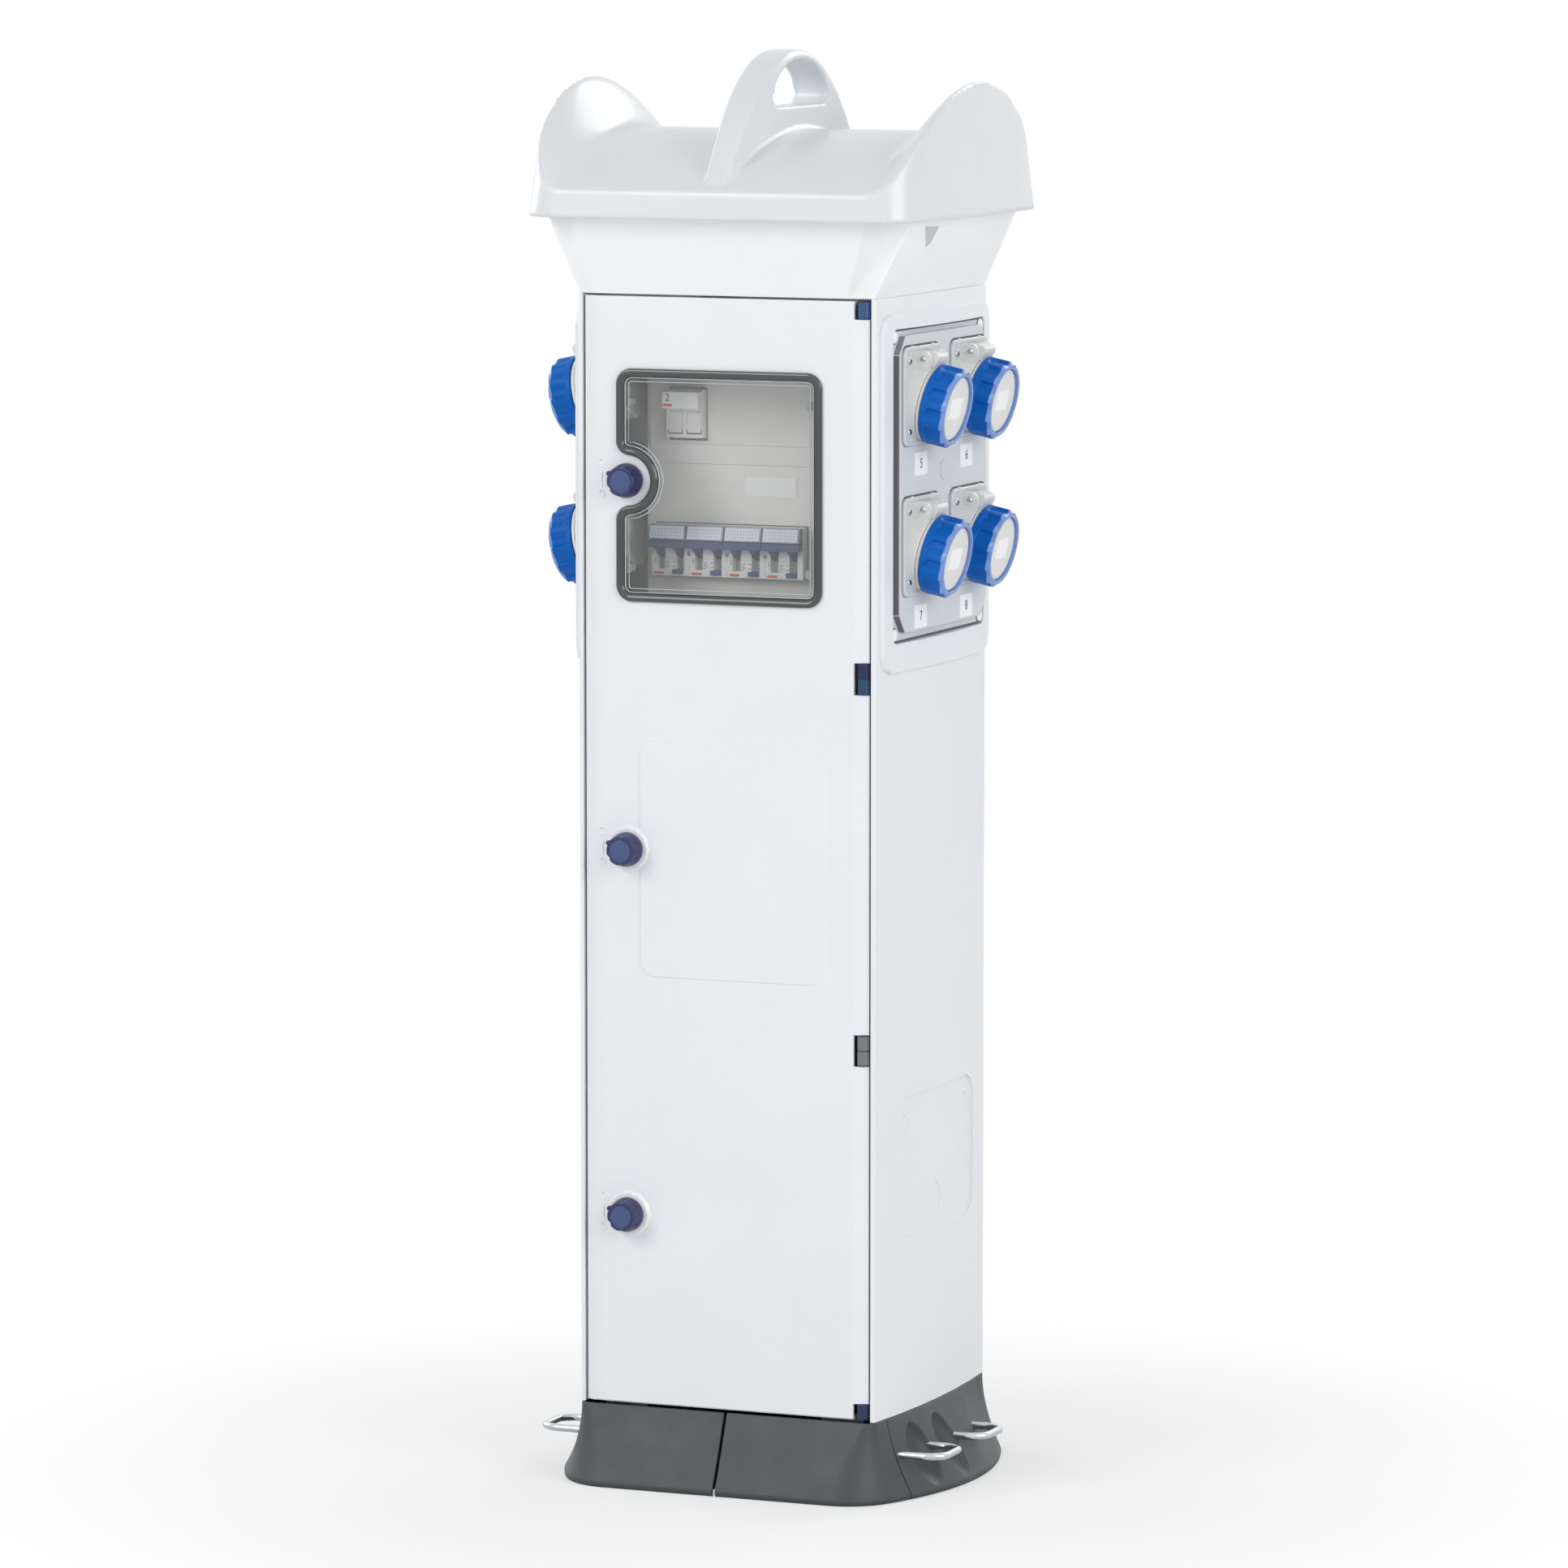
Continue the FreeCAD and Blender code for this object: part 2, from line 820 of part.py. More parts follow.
def post(name, sign_x, sign_y):
    """A corner post between the end plates: a front strap and a side strap, welded into an L."""
    low = S.column_low + S.side_end_wall + S.chassis_plate
    high = S.column_high - S.side_end_wall - S.chassis_plate
    side, front = S.post_outside, S.post_front
    straps = []
    for part, near, far, back in (
        ("front", S.post_flange, 0, S.post_wall),
        ("side", S.post_wall, 0, S.post_web),
    ):
        start = S.post_wall if part == "side" else 0
        across = ((side - near) * sign_x, (side - far) * sign_x)
        along = ((front - back) * sign_y, (front - start) * sign_y)
        left, right = across if sign_x > 0 else across[::-1]
        near_y, far_y = along if sign_y > 0 else along[::-1]
        straps.append(box("%s_%s" % (name, part), (left, near_y, low), (right, far_y, high)))
    return straps


def end_plate(name, low, holes):
    """A column end plate with wings that reach under the side panels."""
    high = low + S.chassis_plate
    inside = S.side_edge - S.side_wall
    middle = box(name + "_middle", (-inside, -S.post_front, low), (inside, S.post_front, high))
    wings = box(name + "_wings", (-S.plate_reach, -S.plate_wing, low), (S.plate_reach, S.plate_wing, high))
    plate = fused(name, [middle, wings])
    if not holes:
        return plate
    slots = []
    for sign in (1, -1):
        near = S.cable_hole_near * sign
        far = S.cable_hole_far * sign
        start, end = (near, far) if sign > 0 else (far, near)
        corner_low = (-S.cable_hole_half, start, low - 1)
        corner_high = (S.cable_hole_half, end, high + 1)
        slots.append(box("%s_slot_%d" % (name, sign), corner_low, corner_high))
    return cut(name, plate, slots)


def make_chassis():
    lower = end_plate("lower_plate", S.column_low + S.side_end_wall, True)
    upper = end_plate("upper_plate", S.column_high - S.side_end_wall - S.chassis_plate, False)
    posts = []
    for number_x, sign_x in enumerate((1, -1)):
        for number_y, sign_y in enumerate((1, -1)):
            posts += post("post_%d%d" % (number_x, number_y), sign_x, sign_y)
    node("chassis", group("chassis_frame", [lower, upper] + posts))


# Mounting wall with its rails

def rail(name, level):
    """A top-hat rail standing on its spacers, open towards the front."""
    back = -(S.wall_thick / 2 + S.rail_spacer)
    front = back - S.rail_height
    half = S.rail_width / 2
    inner = S.rail_groove / 2
    ends = (-S.rail_half, S.rail_half)
    base = box(name + "_base", (ends[0], back - S.rail_gauge, level - inner), (ends[1], back, level + inner))
    pieces = [base]
    for number, (low, high) in enumerate(((-half, -inner), (inner, half))):
        lip = box(
            "%s_lip_%d" % (name, number),
            (ends[0], front, level + low),
            (ends[1], front + S.rail_gauge, level + high),
        )
        pieces.append(lip)
    for number, start in enumerate((-inner - S.rail_gauge, inner)):
        web = box(
            "%s_web_%d" % (name, number),
            (ends[0], front, level + start),
            (ends[1], back, level + start + S.rail_gauge),
        )
        pieces.append(web)
    return fused(name, pieces)


def rail_spacers(name, level):
    """Two pads on the wall that carry a rail."""
    back = -S.wall_thick / 2
    half = S.rail_groove / 2
    pads = []
    for number, sign in enumerate((-1, 1)):
        middle = S.rail_half * sign * 0.8
        low = (middle - half, back - S.rail_spacer, level - half)
        high = (middle + half, back, level + half)
        pads.append(box("%s_%d" % (name, number), low, high))
    return pads


def make_mounting_wall():
    low = S.column_low + S.side_end_wall + S.chassis_plate
    high = S.column_high - S.side_end_wall - S.chassis_plate
    thick = S.wall_thick / 2
    sheet_plate = box("wall_plate", (-S.wall_half, -thick, low), (S.wall_half, thick, high))
    front_pads = rail_spacers("pads_breakers", S.breaker_level) + rail_spacers("pads_fuse", S.fuse_level)
    rear_pads = rail_spacers("pads_rear", S.breaker_level)
    rear_pads = [turned("turned_" + pad_.Name, pad_) for pad_ in rear_pads]
    wall = fused("wall_with_pads", [sheet_plate] + front_pads + rear_pads)
    lower_rail = rail("rail_breakers", S.breaker_level)
    upper_rail = rail("rail_fuse", S.fuse_level)
    rear_rail = turned("rail_rear", lower_rail)
    node("mounting_wall", group("wall_and_rails", [wall, lower_rail, upper_rail, rear_rail]))


# Steel foot

def make_foot():
    """Base plate with four legs, loop rails, anchor holes and the cable entry."""
    body = new_body("foot_body")
    base = new_sketch(body, "foot_outline", "XY_Plane", 0)
    add_rectangle(base, -S.foot_half, S.foot_half, -S.foot_half, S.foot_half)
    plate = pad(body, base, S.foot_plate)
    chamfer_edges(body, plate, edges_along(plate.Shape, Vector(0, 0, 1)), S.foot_round * 0.6)
    legs = new_sketch(body, "foot_legs", "XY_Plane", S.foot_plate)
    for sign_x in (1, -1):
        for sign_y in (1, -1):
            add_leg(legs, sign_x, sign_y)
    rise = S.column_low + S.side_end_wall - S.foot_plate
    pad(body, legs, rise)
    for sign in (1, -1):
        tag = "right" if sign > 0 else "left"
        rail_face = new_sketch(body, "loop_rail_" + tag, "YZ_Plane", S.foot_leg_place * sign)
        half = S.foot_rail_high / 2
        reach = S.foot_leg_back
        add_rectangle(rail_face, -reach, reach, S.loop_level - half, S.loop_level + half)
        pad(body, rail_face, S.foot_leg_wall, backwards=sign > 0)
    holes = new_sketch(body, "anchor_holes", "XY_Plane", S.foot_plate)
    for sign_x in (1, -1):
        for sign_y in (1, -1):
            add_circle(holes, S.anchor_half * sign_x, S.anchor_half * sign_y, S.anchor_round)
    pocket(body, holes, S.foot_plate)
    entry = new_sketch(body, "cable_entry", "XY_Plane", S.foot_plate)
    add_rectangle(entry, -S.foot_entry_half, S.foot_entry_half, -S.foot_entry_half, S.foot_entry_half)
    pocket(body, entry, S.foot_plate)
    node("foot", body)


def add_leg(sketch, sign_x, sign_y):
    """The L-shaped section of one leg, clear of the doors."""
    side, back = float(S.foot_leg_place), float(S.foot_leg_back)
    long, wall = float(S.foot_leg), float(S.foot_leg_wall)
    corners = [
        (side, back), (side - long, back), (side - long, back - wall),
        (side - wall, back - wall), (side - wall, back - long), (side, back - long),
    ]
    spots = [Vector(across * sign_x, back * sign_y, 0) for across, back in corners]
    first = sketch.GeometryCount
    count = len(spots)
    for number in range(count):
        sketch.addGeometry(Part.LineSegment(spots[number], spots[(number + 1) % count]), False)
    for number in range(count):
        after = first + (number + 1) % count
        sketch.addConstraint(Sketcher.Constraint("Coincident", first + number, 2, after, 1))


# Plinth covers

def plinth_section(level, inset):
    """Plan outline of the plinth at one level, moved in by an inset."""
    top = float(S.plinth_top)
    wide = float(S.plinth_wide_level)
    share = (top - level) / (top - wide)
    share = max(0.0, min(1.0, share))
    pull = float(S.plinth_waist_pull) * 4 * share * (1 - share)

    def between(first, second):
        return float(first) + (float(second) - float(first)) * share

    side = between(S.plinth_top_side, S.plinth_wide_side) - pull - inset
    front = between(S.plinth_top_front, S.plinth_wide_front) - pull - inset
    bulge = between(S.plinth_top_bulge, S.plinth_wide_bulge)
    corner = max(between(S.plinth_top_corner, S.plinth_wide_corner) - inset, 1.0)
    return bulged_outline(side, front, bulge, corner, level, 3, 4)


def plinth_solid(inset, high, steps, sole_steps):
    """The flared plinth as one solid, with its rounded sole."""
    wide = float(S.plinth_wide_level)
    high = float(high)
    rings = [plinth_section(high - (high - wide) * step / steps, inset) for step in range(steps + 1)]
    sole = float(S.plinth_sole_inset)
    for step in range(1, sole_steps + 1):
        angle = math.pi / 2 * step / sole_steps
        level = wide * (1 - math.sin(angle))
        ring = plinth_section(wide, inset + sole * (1 - math.cos(angle)))
        rings.append([Vector(spot.x, spot.y, level) for spot in ring])
    return stacked_solid(rings)


def ball_points(steps_round, steps_up):
    """Rings of points over a ball of radius one, without its poles."""
    rings = []
    for step in range(1, steps_up):
        lift = -math.pi / 2 + math.pi * step / steps_up
        centre = Vector(0, 0, math.sin(lift))
        rings.append(round_points(centre, math.cos(lift), 0, 2 * math.pi, steps_round)[:-1])
    return rings


def scallop(number):
    """A hollow in the plinth's side, as a stretched ball leaning with the flare."""
    lean = math.atan2(
        float(S.plinth_wide_side - S.plinth_top_side), float(S.plinth_top - S.plinth_wide_level)
    )
    turn = Rotation(Vector(0, 1, 0), -math.degrees(lean))
    across = float(S.scallop_mid) + float(S.scallop_pitch) * (number - 0.5)
    half = float(S.plinth_top_front + S.plinth_wide_front) / 2
    bulge = float(S.plinth_top_bulge + S.plinth_wide_bulge) / 2
    sweep = (half ** 2 + bulge ** 2) / (2 * bulge)
    face = float(S.plinth_top_side + S.plinth_wide_side) / 2 - sweep + math.sqrt(sweep ** 2 - across ** 2)
    place = Vector(face + float(S.scallop_deep) * 0.3, across, float(S.scallop_level))
    rings = []
    for ring in ball_points(8, 5):
        stretched = []
        for spot in ring:
            wide = Vector(
                spot.x * float(S.scallop_deep), spot.y * float(S.scallop_wide), spot.z * float(S.scallop_tall)
            )
            stretched.append(turn.multVec(wide).add(place))
        rings.append(stretched)
    return stacked_solid(rings)


def make_plinth():
    """Two side covers with scallops and loop holes, and four corner covers."""
    outer = plinth_solid(0.0, S.plinth_top, 3, 2)
    inner = plinth_solid(float(S.plinth_wall), S.plinth_top, 1, 1)
    shell = outer.cut(inner)
    reach = 400.0
    tall = float(S.plinth_top) + 2
    seam = float(S.plinth_side_half)
    side_gap = float(S.plinth_side_seam)
    front_gap = float(S.plinth_front_seam)
    right = Part.makeBox(reach / 2, 2 * seam, tall, Vector(0, -seam, -1))
    backing_half = float(S.scallop_pitch) / 2 + float(S.scallop_wide) + float(S.plinth_wall)
    backing_face = float(S.plinth_top_side) - float(S.plinth_wall)
    backing = Part.makeBox(
        reach / 2, 2 * backing_half, tall, Vector(backing_face, float(S.scallop_mid) - backing_half, -1)
    )
    hollows = [scallop(0), scallop(1)]
    for place in loop_places():
        for sign in (-1, 1):
            centre = Vector(float(place) + sign * float(S.loop_half), float(S.loop_level), 0)
            rim = round_points(centre, float(S.loop_rod / 2 + S.loop_hole_gap), 0, 2 * math.pi, 6)[:-1]
            hole = polygon([Vector(float(S.foot_leg_place), spot.x, spot.y) for spot in rim])
            hollows.append(prism(hole, Vector(100, 0, 0)))
    side = outer.common(right).cut(inner.cut(backing)).cut(hollows)
    quarter = Part.makeBox(reach / 2, reach / 2, tall, Vector(front_gap / 2, -seam - side_gap - reach / 2, -1))
    front_right = shell.common(quarter)
    mirror = front_right.mirror(Vector(), Vector(1, 0, 0))
    corners = [formed("plinth_front_right", front_right), formed("plinth_front_left", mirror)]
    corners += [turned("turned_" + piece.Name, piece) for piece in corners]
    sides = [
        formed("plinth_side_right", side),
        formed("plinth_side_left", side.mirror(Vector(), Vector(1, 0, 0))),
    ]
    node("plinth_covers", group("plinth_cover_set", sides + corners))


# Tie loops

def loop_places():
    """Middles of the two loops along either side, the same on both sides."""
    return [S.loop_mid - S.loop_pitch / 2, S.loop_mid + S.loop_pitch / 2]


def loop_path():
    """Centre line of one loop: two legs out of the plinth and a shorter bar, its bends in short steps."""
    root = float(S.foot_leg_place)
    reach = float(S.loop_reach)
    wide = float(S.loop_half)
    bar = float(S.loop_bar_half)
    knee = reach - (wide - bar) * 1.4
    spots = [
        Vector(root, -wide, 0), Vector(knee, -wide, 0), Vector(reach, -bar, 0),
        Vector(reach, bar, 0), Vector(knee, wide, 0), Vector(root, wide, 0),
    ]
    trim = float(S.loop_bend) / 2
    path = [spots[0]]
    for before, corner, after in zip(spots, spots[1:], spots[2:]):
        back = before.sub(corner).normalize()
        ahead = after.sub(corner).normalize()
        start = corner.add(Vector(back).multiply(trim))
        end = corner.add(Vector(ahead).multiply(trim))
        path += [start, end]
    return path + [spots[-1]]


def loop_rod():
    """The bent rod: six-sided rings set square across the centre line, mitred at each step."""
    path = loop_path()
    radius = float(S.loop_rod) / 2
    rings = []
    for number, spot in enumerate(path):
        before = path[max(number - 1, 0)]
        after = path[min(number + 1, len(path) - 1)]
        back = spot.sub(before) if number else after.sub(spot)
        ahead = after.sub(spot) if number < len(path) - 1 else back
        back, ahead = Vector(back).normalize(), Vector(ahead).normalize()
        across = Vector(0, 0, 1).cross(back.add(ahead)).normalize()
        spread = radius / across.dot(Vector(0, 0, 1).cross(back))
        ring = []
        for flat in round_points(Vector(), 1.0, 0, 2 * math.pi, 6)[:-1]:
            ring.append(spot.add(Vector(across).multiply(flat.x * spread)).add(Vector(0, 0, flat.y * radius)))
        rings.append(ring)
    return stacked_solid(rings)


def make_tie_loops():
    """Four loops, two on each side, opposite each other."""
    rod = formed("loop_rod_bent", loop_rod())
    loops = []
    for side, rotation in (("right", Rotation()), ("left", HALF_TURN)):
        for number, along in enumerate(loop_places(), 1):
            place = point(0, along, S.loop_level)
            loops.append(placed("loop_%s_%d" % (side, number), rod, place, rotation))
    node("tie_loops", group("tie_loop_set", loops))


# Lamp diffuser and lamp

def neck_section(level, top, inset):
    """One of the diffuser's twelve-cornered outlines, with three creases round each corner."""
    inset = float(inset)
    slant = inset * (1 - math.sqrt(0.5))
    if top:
        corners = [
            (S.neck_top_front, -S.neck_top_face + inset),
            (S.neck_top_corner - inset + slant, -S.neck_top_corner_back + inset - slant),
            (S.neck_top_side - inset, -S.neck_top_mid),
        ]
    else:
        share = 1 - (float(S.neck_low_side) / float(S.side_depth)) ** 2
        corners = [
            (S.neck_low_front, -S.door_face + inset),
            (S.neck_low_corner - inset + slant, -S.side_depth + inset - slant),
            (S.side_edge + S.side_bulge * share - inset, -S.neck_low_side),
        ]
    spots = []
    for sign_x, sign_y in ((1, 1), (1, -1), (-1, -1), (-1, 1)):
        three = corners if sign_x * sign_y > 0 else corners[::-1]
        spots += [point(across * sign_x, back * sign_y, level) for across, back in three]
    return spots


def make_diffuser():
    """Translucent funnel shell between the column and the cap."""
    low, high = S.column_high, S.neck_high
    outer = stacked_solid([neck_section(low, False, 0), neck_section(high, True, 0)])
    inner = stacked_solid([neck_section(low, False, S.neck_wall), neck_section(high, True, S.neck_wall)])
    node("lamp_diffuser", formed("diffuser_shell", outer.cut(inner)))


def make_lamp():
    """A compact twin-tube lamp lying in its holder on the upper plate."""
    floor = S.column_high - S.side_end_wall
    half = S.lamp_block_deep
    start = -S.lamp_tube_long / 2 - S.lamp_block_deep
    holder = box(
        "lamp_holder",
        (start, -S.lamp_block_half / 2, floor),
        (start + half, S.lamp_block_half / 2, S.lamp_tube_level + S.lamp_block_high / 2),
    )
    cross = S.lamp_tube_gap / 2
    tubes = []
    for number, sign in enumerate((-1, 1)):
        tubes.append(cylinder(
            "lamp_tube_%d" % number, S.lamp_tube,
            (start + half, cross * sign, S.lamp_tube_level), S.lamp_tube_long, Vector(1, 0, 0),
        ))
    bridge_start = (start + half + S.lamp_tube_long - S.lamp_tube * 2, -cross, S.lamp_tube_level)
    bridge = cylinder("lamp_bridge", S.lamp_tube * 0.6, bridge_start, S.lamp_tube_gap, Vector(0, 1, 0))
    lamp = fused("lamp_tubes", tubes + [bridge])
    node("lamp", group("lamp_and_holder", [holder, lamp]))


# Cap

def roof_height(back):
    """Height of the cap's roof between the ears: an arch from skirt to ridge."""
    rise = float(S.cap_ridge - S.cap_skirt)
    half = float(S.cap_front)
    radius = (half ** 2 + rise ** 2) / (2 * rise)
    reach = min(abs(back), half)
    return float(S.cap_ridge) - radius + math.sqrt(radius ** 2 - reach ** 2)


def ear_height(back):
    """Height of the ear's crest along the cap's side."""
    share = max(0.0, 1 - (back / float(S.cap_front)) ** 2)
    return float(S.cap_skirt) + float(S.cap_ear - S.cap_skirt) * share ** float(S.cap_ear_power)


def cap_height(across, back):
    """Height of the cap's top: the roof swells smoothly into the ears."""
    start, full = float(S.cap_ear_start), float(S.cap_ear_full)
    share = max(0.0, min(1.0, (abs(across) - start) / (full - start)))
    share = share * share * (3 - 2 * share)
    roof = roof_height(back)
    return roof + (ear_height(back) - roof) * share


def cap_block():
    """Everything under the cap's top: a block whose upper face is the height formula in flat facets."""
    reach_x = float(S.cap_side) + 4
    reach_y = float(S.cap_front) + 4
    start, full = float(S.cap_ear_start), float(S.cap_ear_full)
    sides = [start + (full - start) * share for share in (0.0, 0.25, 0.5, 0.75, 1.0)] + [reach_x]
    across = [-spot for spot in reversed(sides)] + sides
    half = [reach_y * math.sin(math.pi / 2 * step / 7) for step in range(8)]
    back = [-spot for spot in reversed(half[1:])] + half
    floor = float(S.cap_rim) - 5

    def top(column, row):
        return Vector(across[column], back[row], cap_height(across[column], back[row]))

    def under(column, row):
        return Vector(across[column], back[row], floor)

    faces = []
    last_x, last_y = len(across) - 1, len(back) - 1
    for column in range(last_x):
        for row in range(last_y):
            corners = [top(column, row), top(column + 1, row), top(column + 1, row + 1), top(column, row + 1)]
            if across[column] * back[row] < 0:
                corners = corners[1:] + corners[:1]
            faces += flat_faces(corners)
    for row in (0, last_y):
        edge = [top(column, row) for column in range(last_x + 1)]
        faces.append(Part.Face(polygon(edge + [under(last_x, row), under(0, row)])))
    for column in (0, last_x):
        edge = [top(column, row) for row in range(last_y + 1)]
        faces.append(Part.Face(polygon(edge + [under(column, last_y), under(column, 0)])))
    faces.append(Part.Face(polygon([under(0, 0), under(last_x, 0), under(last_x, last_y), under(0, last_y)])))
    return closed_solid(faces)


def cap_walls():
    """The cap's drafted side walls, taller than the ears."""
    low = bulged_outline(S.cap_side, S.cap_front, S.cap_bulge, S.cap_corner, S.cap_rim, 4, 4)
    high = bulged_outline(
        S.cap_side - S.cap_draft_side,
        S.cap_front - S.cap_draft_front,
        S.cap_bulge,
        S.cap_top_corner,
        S.total_height,
        4,
        4,
    )
    return stacked_solid([low, high])


def handle_height(back):
    """Height of the handle's crest, an arch from foot to foot."""
    share = back / float(S.cap_front)
    return float(S.total_height) - float(S.total_height - S.cap_skirt) * share * share


def handle_solid():
    """The carrying handle: an arched fin, thicker in the middle, with a soft crest and a hand hole."""
    reach = float(S.cap_front)
    low = float(S.cap_rim) + 10
    soft = float(S.handle_edge_round)
    rings = []
    for step in range(-7, 8):
        back = reach * math.sin(math.pi / 2 * step / 7)
        share = (back / reach) ** 2
        half = float(S.handle_half) + float(S.handle_foot_half - S.handle_half) * share
        crest = handle_height(back)
        ease = soft * (1 - math.sqrt(0.5))
        right = [
            Vector(half, back, low), Vector(half, back, crest - soft),
            Vector(half - ease, back, crest - ease), Vector(half - soft, back, crest),
        ]
        left = [Vector(-spot.x, spot.y, spot.z) for spot in reversed(right)]
        rings.append(right + left)
    return stacked_solid(rings).cut(handle_hole())


def handle_hole():
    """D-shaped hand hole: flat sill, rounded lower corners and an arched top."""
    low, high = float(S.handle_hole_low), float(S.handle_hole_high)
    wide, turn = float(S.handle_hole_half), float(S.handle_hole_round)
    reach = float(S.handle_half) * 4
    lower = round_points(Vector(wide - turn, low + turn, 0), turn, -math.pi / 2, 0, 3)[:-1]
    rise = high - low - turn
    arch = []
    for step in range(7):
        angle = math.pi / 2 * step / 6
        arch.append(Vector(wide * math.cos(angle), low + turn + rise * math.sin(angle), 0))
    half = lower + arch
    outline = half + [Vector(-spot.x, spot.y, 0) for spot in reversed(half[:-1])]
    return prism(polygon([Vector(-reach / 2, spot.x, spot.y) for spot in outline]), Vector(reach, 0, 0))


def make_cap():
    """Roof, ears and handle in one moulding, with a seat underneath for the diffuser."""
    cap = cap_walls().common(cap_block()).fuse(handle_solid())
    wall = float(S.cap_wall)
    recess = bulged_outline(
        float(S.cap_side) - wall, float(S.cap_front) - wall, S.cap_bulge, float(S.cap_corner) - wall,
        float(S.cap_rim) - 1,
    )
    seat_depth = float(S.neck_high - S.cap_rim) + 1
    cap = cap.cut(prism(polygon(recess), Vector(0, 0, seat_depth)))
    cavity = Part.makeBox(
        2 * float(S.cap_cavity_side), 2 * float(S.cap_cavity_front),
        float(S.cap_cavity_high - S.neck_high) + 1,
        point(-S.cap_cavity_side, -S.cap_cavity_front, float(S.neck_high) - 1),
    )
    cap = cap.cut(cavity)
    node("cap", formed("cap_moulding", cap.removeSplitter()))


# Doors

def door_profile(inset, steps=3):
    """Plan section of the door, drawn in by its wall."""
    half = float(S.door_half) - inset
    face = -float(S.door_face) + inset
    back = -float(S.door_back)
    wide = float(S.door_edge_wide)
    drop = float(S.door_edge_drop)
    radius = (wide ** 2 + drop ** 2) / (2 * drop) - inset
    flat = float(S.door_half) - wide
    turn = math.asin((half - flat) / radius)
    right = round_points(Vector(flat, face + radius, 0), radius, -math.pi / 2, turn - math.pi / 2, steps)
    left = [Vector(-spot.x, spot.y, 0) for spot in reversed(right)]
    return polygon([Vector(-half, back, 0)] + left + right + [Vector(half, back, 0)])


def hinge_levels():
    """Lower and upper ends of the four fixed knuckles."""
    return [
        (S.hinge_1_low, S.hinge_1_high),
        (S.hinge_2_low, S.hinge_2_high),
        (S.hinge_3_low, S.hinge_3_high),
        (S.hinge_4_low, S.hinge_4_high),
    ]


def hinge_eyes():
    """Levels of the door's own eyes, above and below the fixed knuckles."""
    spans = []
    gap = S.knuckle_gap
    for low, high in hinge_levels():
        if float(low) - float(S.hinge_eye_long) > float(S.door_low):
            spans.append((low - gap - S.hinge_eye_long, low - gap))
        if float(high) + float(S.hinge_eye_long) < float(S.door_high):
            spans.append((high + gap, high + gap + S.hinge_eye_long))
    return spans


def upright_bar(radius, low, high, sides=8, hole=False):
    """A many-sided round bar on the hinge axis."""
    radius = float(radius) / math.cos(math.pi / sides) if hole else float(radius)
    centre = point(S.hinge_across, -S.hinge_back, low)
    ring = round_points(centre, radius, 0, 2 * math.pi, sides)[:-1]
    return prism(polygon(ring), Vector(0, 0, float(high) - float(low)))


def window_outline(inset, level):
    """Outline of the door window at a depth, with its bite round the upper lock, as points."""
    inset = float(inset)
    left, right = float(S.window_left) + inset, float(S.window_right) - inset
    low, high = float(S.window_low) + inset, float(S.window_high) - inset
    turn = max(float(S.window_round) - inset, 1.0)
    bite = float(S.notch_round) + inset
    blend = max(float(S.notch_blend) - inset, 0.5)
    lock_x, lock_z = float(S.lock_across), float(S.lock_top)
    blend_x = float(S.window_left) + float(S.notch_blend)
    reach = float(S.notch_round) + float(S.notch_blend)
    rise = math.sqrt(reach ** 2 - (blend_x - lock_x) ** 2)
    slope = math.atan2(rise, blend_x - lock_x)
    quarter = math.pi / 2
    flat = []
    flat += round_points(Vector(left + turn, low + turn, 0), turn, 2 * quarter, 3 * quarter, 3)
    flat += round_points(Vector(right - turn, low + turn, 0), turn, 3 * quarter, 4 * quarter, 3)
    flat += round_points(Vector(right - turn, high - turn, 0), turn, 0, quarter, 3)
    flat += round_points(Vector(left + turn, high - turn, 0), turn, quarter, 2 * quarter, 3)
    flat += round_points(Vector(blend_x, lock_z + rise, 0), blend, 2 * quarter, 2 * quarter + slope, 2)
    flat += round_points(Vector(lock_x, lock_z, 0), bite, slope, -slope, 7)[1:-1]
    flat += round_points(Vector(blend_x, lock_z - rise, 0), blend, 2 * quarter - slope, 2 * quarter, 2)
    return polygon([Vector(spot.x, float(level), spot.y) for spot in flat])


def window_prism(inset, start, end):
    """The window outline drawn between two depths."""
    return prism(window_outline(inset, start), Vector(0, float(end) - float(start), 0))


def door_ring(level, depth, radius, sides):
    """A ring of points round a lock's axis at some depth before the door."""
    ring = round_points(point(S.lock_across, level, 0), float(radius), 0, 2 * math.pi, sides)[:-1]
    return [Vector(spot.x, float(depth), spot.y) for spot in ring]


